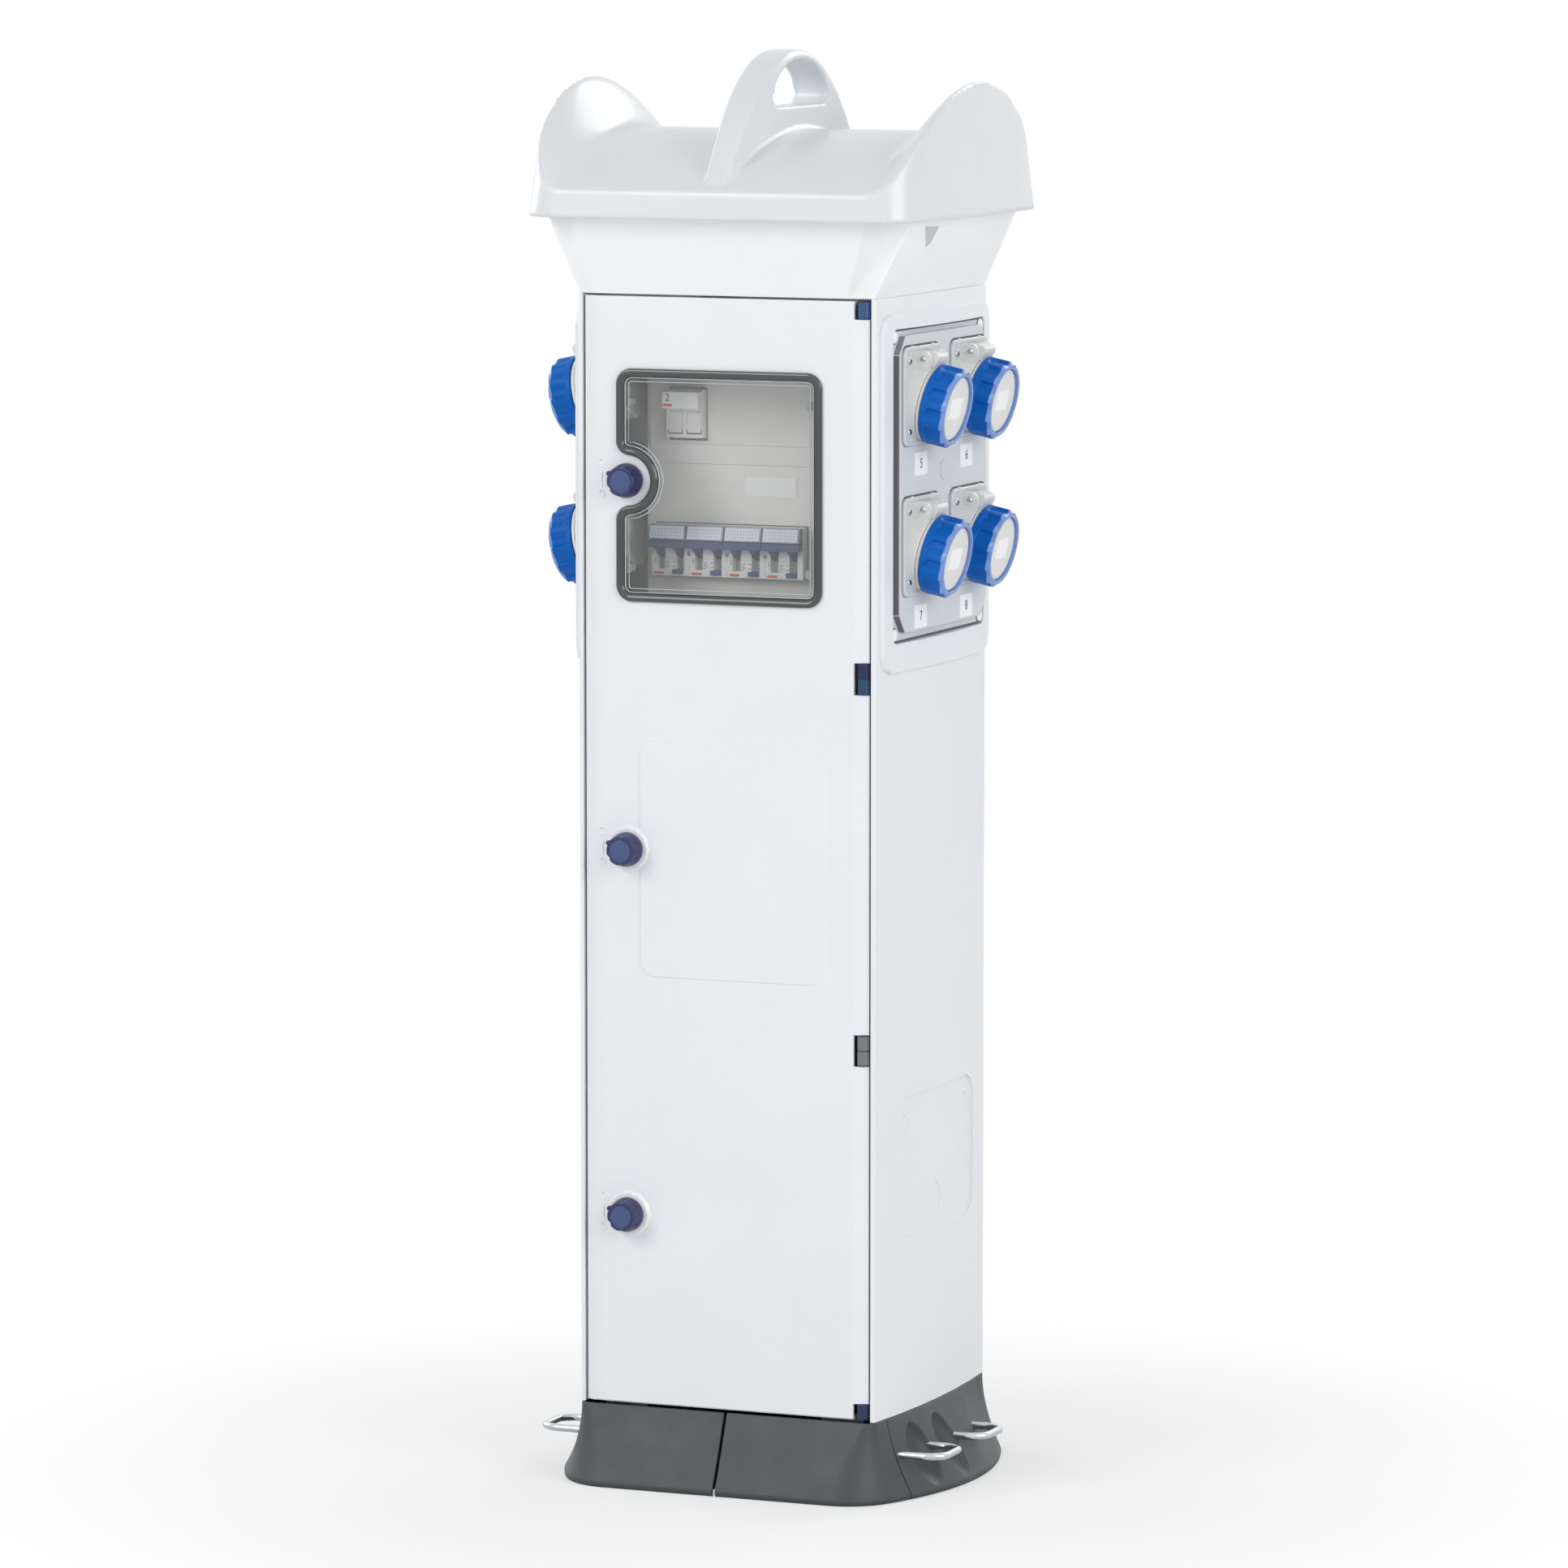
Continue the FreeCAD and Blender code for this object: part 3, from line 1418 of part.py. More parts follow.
def door_leaf():
    """The front door: a shallow tray with hinge eyes, window hole and lock collars."""
    low, high = float(S.door_low), float(S.door_high)
    wall = float(S.door_wall)
    outer = prism(door_profile(0.0), Vector(0, 0, high - low))
    outer.translate(Vector(0, 0, low))
    rims = []
    for edge in outer.Edges:
        flat_edge = edge.BoundBox.ZLength < 0.01
        in_front = edge.BoundBox.YMax < -float(S.door_face) + 0.01
        if flat_edge and in_front:
            rims.append(edge)
    outer = outer.makeChamfer(float(S.door_edge_round) * 0.6, rims)
    inner = prism(door_profile(wall), Vector(0, 0, high - low - 2 * wall))
    inner.translate(Vector(0, 0, low + wall))
    inner = inner.fuse(Part.makeBox(
        2 * (float(S.door_half) - wall), 5, high - low - 2 * wall,
        Vector(-float(S.door_half) + wall, -float(S.door_back) - 0.5, low + wall),
    ))
    eyes = [upright_bar(S.hinge_eye, eye_low, eye_high) for eye_low, eye_high in hinge_eyes()]
    leaf = outer.cut(inner.cut(eyes))
    cuts = []
    across = float(S.door_half - S.hinge_notch) + 2
    gap = float(S.knuckle_gap)
    for notch_low, notch_high in hinge_levels():
        start = float(notch_low) - gap
        end = float(notch_high) + gap
        cuts.append(Part.makeBox(across, 30, end - start, point(S.hinge_notch, -S.door_face - 5, start)))
    for eye_low, eye_high in hinge_eyes():
        cuts.append(upright_bar(S.hinge_pin + S.hinge_play, float(eye_low) - 1, float(eye_high) + 1, 6, True))
    face = -S.door_face
    cuts.append(window_prism(S.window_seat, face - 2, face + S.door_wall + 2))
    leaf = leaf.cut(cuts)
    for number in (1, 2):
        level = S.lock_top - S.lock_pitch * number
        wide = door_ring(level, face, S.collar_round, 12)
        narrow = door_ring(level, face - S.collar_high, S.collar_round - S.collar_high, 12)
        leaf = leaf.fuse(stacked_solid([wide, narrow]))
    for number in range(3):
        level = S.lock_top - S.lock_pitch * number
        clear = float(S.lock_shaft + S.lock_play) / math.cos(math.pi / 8)
        leaf = leaf.cut(prism(polygon(door_ring(level, face - 20, clear, 8)), Vector(0, 40, 0)))
    return leaf.removeSplitter()


def make_doors():
    front = node("front_door", formed("front_door_leaf", door_leaf()))
    node("rear_door", turned("rear_door_leaf", front))
    face = -S.door_face
    seat_level = face - S.gasket_thick
    rim = window_prism(0, seat_level - S.window_proud, seat_level)
    plug = window_prism(S.window_seat + S.window_fit, seat_level, face + S.window_pane)
    well = window_prism(S.window_border, seat_level - S.window_proud - 1, face - S.window_sink)
    pane = formed("window_moulding", rim.fuse(plug).cut(well).removeSplitter())
    node("front_window", pane)
    node("rear_window", turned("rear_window_moulding", pane))
    outer = window_prism(S.gasket_inset, seat_level, face)
    inner = window_prism(S.window_seat + S.window_fit, seat_level - 1, face + 1)
    strip = node("front_gasket", formed("gasket_strip", outer.cut(inner)))
    node("rear_gasket", turned("rear_gasket_strip", strip))


def make_hinges():
    """Fixed knuckles with their pins and the webs that seat them on the posts."""
    pieces = []
    for number, (low, high) in enumerate(hinge_levels(), 1):
        name = "hinge_%d" % number
        knuckle = cylinder(
            name + "_barrel", S.knuckle_round, (S.hinge_across, -S.hinge_back, low), high - low, Vector(0, 0, 1)
        )
        web = box(
            name + "_web",
            (S.hinge_across - S.knuckle_round + 2, -S.hinge_back + 3, low),
            (S.post_outside, -S.post_front, high),
        )
        pin_low = low - S.hinge_eye_long if number > 1 else low
        pin_high = high + S.hinge_eye_long if number < 4 else high
        pin = cylinder(
            name + "_pin", S.hinge_pin, (S.hinge_across, -S.hinge_back, pin_low), pin_high - pin_low,
            Vector(0, 0, 1), 6,
        )
        pieces.append(cut(name, fused(name + "_leaf", [knuckle, web]), [pin]))
        pieces.append(pin)
    pieces += [turned("turned_" + piece.Name, piece) for piece in pieces]
    node("hinges", group("hinge_set", pieces))


# Locks

def lock_knob(face):
    """A tapered grip knob with finger hollows and a pointer, on its shaft, before a door face."""
    base = float(face) - float(S.knob_gap)
    tall = float(S.knob_high)
    count = int(float(S.knob_groove_count))
    rings = []
    for share, radius in ((0.0, S.knob_base), (0.25, S.knob_base), (1.0, S.knob_face)):
        hollow = float(S.knob_groove) if share > 0.5 else 0.0
        ring = []
        for number in range(count * 3):
            inward = hollow if number % 3 == 1 else 0.0
            angle = 2 * math.pi * number / (count * 3)
            reach = float(radius) - inward
            ring.append(Vector(reach * math.cos(angle), base - tall * share, reach * math.sin(angle)))
        rings.append(ring)
    grip = formed("knob_body", stacked_solid(rings))
    ahead = Vector(0, -1, 0)
    disc = cylinder("knob_disc", S.knob_disc, (0, base - tall + S.knob_disc_deep, 0), 5, ahead, 8)
    nub = cylinder(
        "knob_nub", S.knob_nub,
        (S.knob_face * math.cos(2.6), base - tall * 0.6, S.knob_face * math.sin(2.6)), tall * 0.4, ahead, 4,
    )
    shaft = cylinder("lock_shaft", S.lock_shaft, (0, base, 0), -S.cam_back - base, Vector(0, 1, 0), 8)
    return cut("knob_grip", fused("knob_and_shaft", [grip, nub, shaft]), [disc])


def lock_cam():
    """The latch plate at the shaft's inner end, pointing up when the door is free."""
    back = -S.cam_back
    return box("cam_plate", (-S.cam_half, back - S.cam_thick, -S.cam_half), (S.cam_half, back, S.cam_long))


def make_locks():
    cam = lock_cam()
    flat = lock_knob(-S.door_face)
    raised = lock_knob(-S.door_face - S.collar_high)
    number = 0
    for rotation in (Rotation(), HALF_TURN):
        for step, knob in enumerate((flat, raised, raised)):
            number += 1
            place = point(S.lock_across, 0, S.lock_top - S.lock_pitch * step)
            pair = fused("lock_pair_%d" % number, [knob, cam])
            node("lock_%d" % number, placed("lock_set_%d" % number, pair, rotation.multVec(place), rotation))


# Sockets

def tilted():
    """Unit vectors along a socket's axis and up across it."""
    lean = math.radians(float(S.socket_tilt))
    return Vector(math.cos(lean), 0, -math.sin(lean)), Vector(math.sin(lean), 0, math.cos(lean))


def tilted_cylinder(name, radius, start, end, sides=12, hole=False):
    """A round piece on the socket's tilted axis."""
    along, _ = tilted()
    start = sized(start)
    place = (start * along.x, 0, start * along.z - S.socket_drop)
    return cylinder(name, radius, place, sized(end) - start, along, sides, hole)


def socket_plate():
    """The octagonal socket plate with its corner lugs and four socket holes."""
    fit = S.plate_fit
    back = S.pocket_floor
    lug = rounded_plate(
        "plate_lugs", "YZ_Plane", back, -S.pocket_half + fit, S.pocket_half - fit,
        S.pocket_low + fit, S.pocket_high - fit, S.plate_base, S.pocket_round - fit,
    )
    half = float(S.plateau_half)
    low, high = float(S.plateau_low), float(S.plateau_high)
    cut_y, cut_z = float(S.plateau_cut_across), float(S.plateau_cut_up)

    def octagon(inset, level):
        wide, bottom, top = half - inset, low + inset, high - inset
        spots = [
            (-wide + cut_y, bottom), (wide - cut_y, bottom), (wide, bottom + cut_z), (wide, top - cut_z),
            (wide - cut_y, top), (-wide + cut_y, top), (-wide, top - cut_z), (-wide, bottom + cut_z),
        ]
        return polygon([Vector(level, across, up) for across, up in spots])

    base = float(S.pocket_floor)
    face = float(S.plateau_face)
    wall = float(S.plateau_wall)
    block = formed("plateau_block", prism(octagon(0, base), Vector(face - base, 0, 0)))
    hollow = formed("plateau_hollow", prism(octagon(wall, base - 1), Vector(face - wall - base + 1, 0, 0)))
    holes = []
    for number, (across, up) in enumerate(socket_places()):
        holes.append(cylinder(
            "socket_hole_%d" % number, S.socket_body + S.socket_hole_gap,
            (S.pocket_floor, across, up - S.socket_drop), 40, Vector(1, 0, 0), 12, True,
        ))
    return cut("socket_plate", fused("plate_blank", [lug, block]), [hollow, group("socket_holes", holes)])


def socket_places():
    """Flange centres on the right-hand side: front and rear, upper then lower."""
    return [
        (-S.socket_across, S.socket_upper),
        (S.socket_across, S.socket_upper),
        (-S.socket_across, S.socket_lower),
        (S.socket_across, S.socket_lower),
    ]


def socket_frames():
    """Places of all eight sockets: 1 to 4 on the left, 5 to 8 on the right."""
    frames = []
    for rotation in (HALF_TURN, Rotation()):
        for across, up in socket_places():
            place = point(S.plateau_face, across, up)
            frames.append((rotation.multVec(place), rotation))
    return frames


def socket_housing():
    """Flange, tilted collar, closed body behind the plate and the lid's knuckle."""
    edge = S.flange_half
    flange = formed("flange", rounded_prism("X", 0, (-edge, -edge), (edge, edge), S.flange_thick, S.flange_round))
    body = tilted_cylinder("socket_body", S.socket_body, -S.socket_body_deep, S.flange_thick, 10)
    collar = tilted_cylinder("socket_collar", S.collar_outer, -S.collar_long, S.collar_long, 10)
    far = S.flange_half * 2
    root_cut = box("collar_root_cut", (-far, -far, -far), (S.flange_thick / 2, far, far))
    bore = tilted_cylinder("socket_bore", S.collar_inner, S.socket_floor, S.collar_long + 5, 10)
    pivot = (S.lid_pivot_out, -S.lid_knuckle_half, S.lid_pivot_up)
    knuckle = cylinder("lid_knuckle", S.lid_knuckle, pivot, S.lid_knuckle_half * 2, Vector(0, 1, 0), 8)
    web = box(
        "lid_knuckle_web",
        (S.flange_thick - 0.5, -S.lid_knuckle_half, S.lid_pivot_up - S.lid_knuckle + 1),
        (S.lid_pivot_out, S.lid_knuckle_half, S.lid_pivot_up + S.lid_knuckle - 1),
    )
    pin_start = (S.lid_pivot_out, -S.lid_pin_half, S.lid_pivot_up)
    pin = cylinder("lid_pin", S.lid_pin, pin_start, S.lid_pin_half * 2, Vector(0, 1, 0), 6)
    outside = cut("collar_trimmed", collar, [root_cut])
    solid = fused("socket_solid", [flange, body, outside, knuckle, web, pin])
    return cut("socket_housing", solid, [bore])


def socket_insert():
    """Contact carrier on the socket's floor with one large and two small contacts."""
    start = S.socket_floor
    carrier = tilted_cylinder("contact_carrier", S.insert_round, start, start + S.insert_high, 8)
    along, up = tilted()
    holes = []
    for number in range(3):
        angle = math.radians(90 + 120 * number)
        across = float(S.contact_circle) * math.cos(angle)
        rise = float(S.contact_circle) * math.sin(angle)
        radius = S.contact_round * (1.3 if number == 0 else 1.0)
        place = (
            (start + 3) * along.x + rise * up.x, across, (start + 3) * along.z + rise * up.z - S.socket_drop,
        )
        holes.append(cylinder("contact_%d" % number, radius, place, 30, along, 4))
    return cut("socket_insert", carrier, [group("contacts", holes)])


def lid_arm(name, start, end):
    """One hinge arm of the lid, a flat plate from the pivot to the lid's base ring."""
    outline = [
        (5.8, 35), (7.5, 39), (12.5, 39), (17.8, 29), (17.8, 21), (15.3, 21), (16.4, 28), (7, 31.2),
    ]
    shift_out = float(S.lid_pivot_out) - 10
    shift_up = float(S.lid_pivot_up) - 35
    wire = polygon([Vector(out + shift_out, float(start), up + shift_up) for out, up in outline])
    return formed(name, prism(wire, Vector(0, float(end) - float(start), 0)))


def socket_lid():
    """Round lid body with a base ring and two hinge arms."""
    base_end = S.lid_start + S.lid_base_thick
    base = tilted_cylinder("lid_base", S.lid_base_round, S.lid_start, base_end)
    disc = tilted_cylinder("lid_disc", S.lid_disc, S.lid_start, S.lid_long)
    near = S.lid_knuckle_half + S.lid_arm_gap
    far = S.lid_pin_half
    arms = [lid_arm("lid_arm_left", -far, -near), lid_arm("lid_arm_right", near, far)]
    bore = cylinder(
        "lid_bore", S.lid_pin + S.lid_play,
        (S.lid_pivot_out, -S.lid_pin_half - 5, S.lid_pivot_up), S.lid_pin_half * 2 + 10, Vector(0, 1, 0), 6, True,
    )
    return cut("socket_lid", fused("lid_solid", [base, disc] + arms), [bore])


def locking_ring():
    """Bayonet ring round the lid, with finger hollows and a bevelled front."""
    start = float(S.lid_start + S.lid_base_thick + S.ring_gap)
    end = float(S.ring_end)
    bevel = float(S.ring_bevel_wide)
    count = int(float(S.ring_flat_count))
    rings = []
    for level, inset in ((start, 0.0), (end - float(S.ring_bevel_deep), 0.0), (end, bevel)):
        ring = []
        for number in range(count * 2):
            radius = float(S.ring_flat if number % 2 else S.ring_outer) - inset
            angle = math.pi * (number - 0.5) / count
            ring.append(Vector(radius * math.cos(angle), radius * math.sin(angle), level))
        rings.append(ring)
    inner = float(S.lid_disc + S.ring_gap) / math.cos(math.pi / 12)
    bore = round_points(Vector(0, 0, start - 1), inner, 0, 2 * math.pi, 12)[:-1]
    ring = stacked_solid(rings).cut(prism(polygon(bore), Vector(0, 0, end - start + 2)))
    along, _ = tilted()
    ring.Placement = Placement(point(0, 0, -S.socket_drop), Rotation(Vector(0, 0, 1), along))
    return formed("locking_ring", ring)


def make_sockets():
    plate = socket_plate()
    node("socket_plates", group("socket_plate_pair", [plate, turned("socket_plate_left", plate)]))
    housing, insert = socket_housing(), socket_insert()
    lid, ring = socket_lid(), locking_ring()
    housings, inserts = [], []
    for number, (place, rotation) in enumerate(socket_frames(), 1):
        housings.append(placed("housing_%d" % number, housing, place, rotation))
        inserts.append(placed("insert_%d" % number, insert, place, rotation))
        node("socket_lid_%d" % number, placed("lid_set_%d" % number, lid, place, rotation))
        node("locking_ring_%d" % number, placed("ring_set_%d" % number, ring, place, rotation))
    node("socket_housings", group("housing_set", housings))
    node("socket_inserts", group("insert_set", inserts))


# Breaker panel, breakers and the lighting fuse

def breaker_panel(with_fuse):
    """Inner cover: a tray on the mounting wall with cut-outs for the devices."""
    tag = "front" if with_fuse else "rear"
    body = new_body("panel_body_" + tag)
    face = new_sketch(body, "panel_face_" + tag, "XZ_Plane", S.wall_thick / 2)
    add_rectangle(face, -S.panel_half, S.panel_half, S.panel_low, S.panel_high)
    depth = S.panel_front - S.wall_thick / 2
    pad(body, face, depth)
    hollow = new_sketch(body, "panel_hollow_" + tag, "XZ_Plane", S.wall_thick / 2)
    wall = S.panel_wall
    add_rectangle(hollow, -S.panel_half + wall, S.panel_half - wall, S.panel_low + wall, S.panel_high - wall)
    pocket(body, hollow, depth - wall, backwards=True)
    for step, (level, rise) in enumerate((
        (S.panel_step_lower, S.panel_step_low_high),
        (S.panel_step_upper, S.panel_step_high),
    )):
        field = new_sketch(body, "panel_step_%d_%s" % (step, tag), "XZ_Plane", S.panel_front)
        half = S.panel_step_half
        add_rectangle(field, -half, half, level, S.panel_high - wall)
        pad(body, field, rise)
    gap = S.cutout_gap
    row_end = S.breaker_left + S.breaker_wide * 4
    half = S.nose_high / 2 + gap
    row = new_sketch(body, "breaker_cutout_" + tag, "XZ_Plane", S.panel_front + 5)
    add_rectangle(row, S.breaker_left - gap, row_end + gap, S.breaker_level - half, S.breaker_level + half)
    pocket(body, row, S.panel_wall + 10)
    if with_fuse:
        hole = new_sketch(body, "fuse_cutout", "XZ_Plane", S.panel_front + 5)
        right = S.fuse_left + S.fuse_wide + gap
        add_rectangle(hole, S.fuse_left - gap, right, S.fuse_level - half, S.fuse_level + half)
        pocket(body, hole, S.panel_wall + 10)
    return body


def breaker_body():
    """One two-pole breaker: body behind the panel, nose through it, slots for its levers."""
    low = S.breaker_gap / 2
    high = S.breaker_wide - S.breaker_gap / 2
    back = -(S.wall_thick / 2 + S.rail_spacer + S.rail_height)
    tall = S.breaker_body_high / 2
    nose = S.nose_high / 2
    block = box("breaker_block", (low, -S.breaker_body_front, -tall), (high, back, tall))
    front = box("breaker_nose", (low, -S.nose_front, -nose), (high, -S.breaker_body_front + 1, nose))
    middle = S.breaker_wide / 2
    tools = []
    for number, sign in enumerate((-1, 1)):
        place = middle + S.toggle_place * sign
        tools.append(box(
            "toggle_slot_%d" % number,
            (place - S.toggle_slot_half, -S.nose_front - 1, S.toggle_slot_low),
            (place + S.toggle_slot_half, -S.nose_front + S.toggle_slot_deep, S.toggle_slot_high),
        ))
    place = middle + S.button_across
    gap = S.button_gap
    tools.append(box(
        "button_well",
        (place - S.button_half - gap, -S.nose_front - 1, S.button_level - S.button_tall_half - gap),
        (place + S.button_half + gap, -S.button_well, S.button_level + S.button_tall_half + gap),
    ))
    return cut("breaker", fused("breaker_solid", [block, front]), [group("breaker_wells", tools)])


def breaker_lever():
    """Joined lever bar of one breaker with its two toggles, pushed up."""
    low = S.breaker_gap
    high = S.breaker_wide - S.breaker_gap
    bar = box("lever_bar", (low, -S.lever_bar_front, S.lever_bar_low), (high, -S.lever_bar_back, S.lever_bar_high))
    middle = S.breaker_wide / 2
    pieces = [bar]
    for number, sign in enumerate((-1, 1)):
        place = middle + S.toggle_place * sign
        left, right = place - S.toggle_half, place + S.toggle_half
        root = S.lever_root
        pivot = point(left, -S.lever_pivot_back, S.lever_pivot_level)
        outline = [
            Vector(pivot.x, pivot.y + float(root) * 0.6, pivot.z + float(root) * 0.8),
            Vector(pivot.x, pivot.y - float(root) * 0.6, pivot.z - float(root) * 0.8),
            point(left, -S.lever_bar_front + 1.5, S.lever_bar_low),
            point(left, -S.lever_bar_back, S.lever_bar_low + 2),
        ]
        width = float(right - left)
        pieces.append(formed("toggle_%d" % number, prism(polygon(outline), Vector(width, 0, 0))))
        pieces.append(cylinder(
            "toggle_hub_%d" % number, S.lever_root,
            (left, -S.lever_pivot_back, S.lever_pivot_level), S.toggle_half * 2, Vector(1, 0, 0), 6,
        ))
    return fused("breaker_lever", pieces)


def test_button():
    """Small test button standing a little proud of the breaker's nose."""
    place = S.breaker_wide / 2 + S.button_across
    return box(
        "test_button_block",
        (place - S.button_half, -S.button_front, S.button_level - S.button_tall_half),
        (place + S.button_half, -S.button_front + S.button_long, S.button_level + S.button_tall_half),
    )


def fuse_holder():
    """Body of the lighting fuse holder behind the panel."""
    low, high = S.fuse_left + S.breaker_gap, S.fuse_left + S.fuse_wide - S.breaker_gap
    back = -(S.wall_thick / 2 + S.rail_spacer + S.rail_height)
    tall = S.breaker_body_high / 2 - 4
    block = box("fuse_block", (low, -S.breaker_body_front, S.fuse_level - tall), (high, back, S.fuse_level + tall))
    nose = S.nose_high / 2
    step = box(
        "fuse_step",
        (low, -S.fuse_back, S.fuse_level - nose),
        (high, -S.breaker_body_front + 1, S.fuse_level + nose),
    )
    return fused("fuse_holder", [block, step])


def fuse_carrier():
    """Hinged fuse carrier with its pull tab and two window recesses."""
    gap = S.carrier_gap
    low, high = S.fuse_left + gap, S.fuse_left + S.fuse_wide - gap
    level = S.fuse_level
    block = box("carrier_block", (low, -S.nose_front, level + S.carrier_low), (high, -S.carrier_back, level + S.carrier_high))
    tab = box(
        "carrier_tab",
        (low, -S.carrier_tab_front, level + S.carrier_tab_low),
        (high, -S.nose_front + 1, level + S.carrier_tab_high),
    )
    middle = S.fuse_left + S.fuse_wide / 2
    windows = []
    for number, sign in enumerate((-1, 1)):
        place = middle + S.toggle_place * sign
        windows.append(box(
            "carrier_window_%d" % number,
            (place - S.toggle_place * 0.8, -S.nose_front - 1, level + S.carrier_low + 3),
            (place + S.toggle_place * 0.8, -S.nose_front + S.carrier_tab_sink, level + S.carrier_tab_low - 1.5),
        ))
    return cut("carrier", fused("carrier_solid", [block, tab]), [group("carrier_windows", windows)])


def make_breakers():
    front = breaker_panel(True)
    rear = turned("panel_rear_turned", breaker_panel(False))
    node("breaker_panels", group("breaker_panel_pair", [front, rear]))
    body, lever, button = breaker_body(), breaker_lever(), test_button()
    bodies = []
    number = 0
    for rotation in (Rotation(), HALF_TURN):
        for column in range(4):
            number += 1
            place = point(S.breaker_left + S.breaker_wide * column, 0, S.breaker_level)
            spot = rotation.multVec(place)
            bodies.append(placed("breaker_%d" % number, body, spot, rotation))
            node("breaker_lever_%d" % number, placed("lever_set_%d" % number, lever, spot, rotation))
            node("test_button_%d" % number, placed("button_set_%d" % number, button, spot, rotation))
    node("breaker_bodies", group("breaker_set", bodies + [fuse_holder()]))
    node("fuse_carrier", fuse_carrier())


def check_and_export():
    """Stop at a failed feature or a bad shape, then write one file for each sub-part."""
    doc.recompute()
    for thing in doc.Objects:
        failed = [state for state in thing.State if state in ("Invalid", "Error")]
        assert not failed, "%s is %s" % (thing.Name, failed)
    for name, thing in NODES.items():
        assert not thing.Shape.isNull(), name + " has no shape"
        assert thing.Shape.isValid(), name + " is not valid"
        assert thing.Shape.Solids, name + " has no solid"
    os.makedirs("parts", exist_ok=True)
    for name, thing in NODES.items():
        thing.Shape.exportStep(os.path.join("parts", name + ".step"))
    print("%d sub-parts written" % len(NODES))


make_foot()
make_plinth()
make_tie_loops()
make_chassis()
make_mounting_wall()
make_side_panels()
make_diffuser()
make_lamp()
make_cap()
make_doors()
make_hinges()
make_locks()
make_sockets()
make_breakers()
check_and_export()
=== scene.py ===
import json
import math
from collections import defaultdict

import bmesh
import bpy
from mathutils import Matrix, Vector


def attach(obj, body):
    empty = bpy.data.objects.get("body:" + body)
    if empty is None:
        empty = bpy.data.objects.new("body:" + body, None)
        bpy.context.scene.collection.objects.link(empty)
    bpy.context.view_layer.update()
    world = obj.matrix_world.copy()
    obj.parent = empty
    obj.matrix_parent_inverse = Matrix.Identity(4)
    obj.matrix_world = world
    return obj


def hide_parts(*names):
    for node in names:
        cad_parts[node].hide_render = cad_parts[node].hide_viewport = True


# A campsite power pedestal: white column, smoked window, eight lidded sockets, dark flared plinth.
# Lengths in this file are millimetres until they reach a mesh.

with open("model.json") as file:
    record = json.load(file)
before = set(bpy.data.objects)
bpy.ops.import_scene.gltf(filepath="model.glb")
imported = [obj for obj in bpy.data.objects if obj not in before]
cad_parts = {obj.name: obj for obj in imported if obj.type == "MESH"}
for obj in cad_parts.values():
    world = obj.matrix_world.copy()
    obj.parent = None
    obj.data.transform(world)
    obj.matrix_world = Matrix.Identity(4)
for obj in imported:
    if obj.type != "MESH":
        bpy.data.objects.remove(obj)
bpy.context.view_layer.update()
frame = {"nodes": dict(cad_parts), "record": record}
MM = 0.001
UP = Vector((0, 0, 1))
NODES = frame["nodes"]
SLOTS = {item["slot"] for item in frame["record"]["materials"]}
SLOT_OF = {item["node"]: item["material_slot"] for item in frame["record"]["subparts"]}

# Sizes shared with the CAD source
TOTAL = 1250
PLATEAU_FACE = 150
SOCKET_TILT = math.radians(12)
SOCKET_DROP = 4.5
SOCKET_PLACES = ((-56, 956.5), (56, 956.5), (-56, 827), (56, 827))
LOCK_ACROSS = -91
LOCK_LEVELS = (881, 560.2, 239.4)
LOCK_BOSS = 2.5
DOOR_FACE = 134
PANE_BACK = 131.8


# Node helpers

def add_node(tree, kind, inputs=(), **settings):
    """A node with its settings; each input is a value, or a socket to link."""
    node = tree.nodes.new(kind)
    for name, value in settings.items():
        setattr(node, name, value)
    for name, value in dict(inputs).items():
        if isinstance(value, bpy.types.NodeSocket):
            tree.links.new(value, node.inputs[name])
        else:
            node.inputs[name].default_value = value
    return node


def emptied_tree(owner):
    owner.use_nodes = True
    owner.node_tree.nodes.clear()
    return owner.node_tree


def noise(tree, vector, scale, detail, rough=0.5):
    """A noise value from 0 to 1 over the surface."""
    inputs = {"Vector": vector, "Scale": scale, "Detail": detail, "Roughness": rough}
    return add_node(tree, "ShaderNodeTexNoise", inputs).outputs["Fac"]


def ramp(tree, value, low, high):
    """A colour ramp between two tones, read from a value."""
    node = add_node(tree, "ShaderNodeValToRGB", {"Fac": value})
    for element, position, tone in zip(node.color_ramp.elements, (0.3, 0.7), (low, high)):
        element.position = position
        element.color = (*tone, 1)
    return node.outputs["Color"]


def spread(tree, value, low, high):
    """A value moved from 0.25-0.75 to a new range."""
    inputs = {"Value": value, "From Min": 0.25, "From Max": 0.75, "To Min": low, "To Max": high}
    return add_node(tree, "ShaderNodeMapRange", inputs).outputs["Result"]


def linear(colour):
    """Linear light from an 0-255 display colour."""
    return tuple(
        (c / 255 / 12.92) if c / 255 <= 0.04045 else ((c / 255 + 0.055) / 1.055) ** 2.4 for c in colour
    )


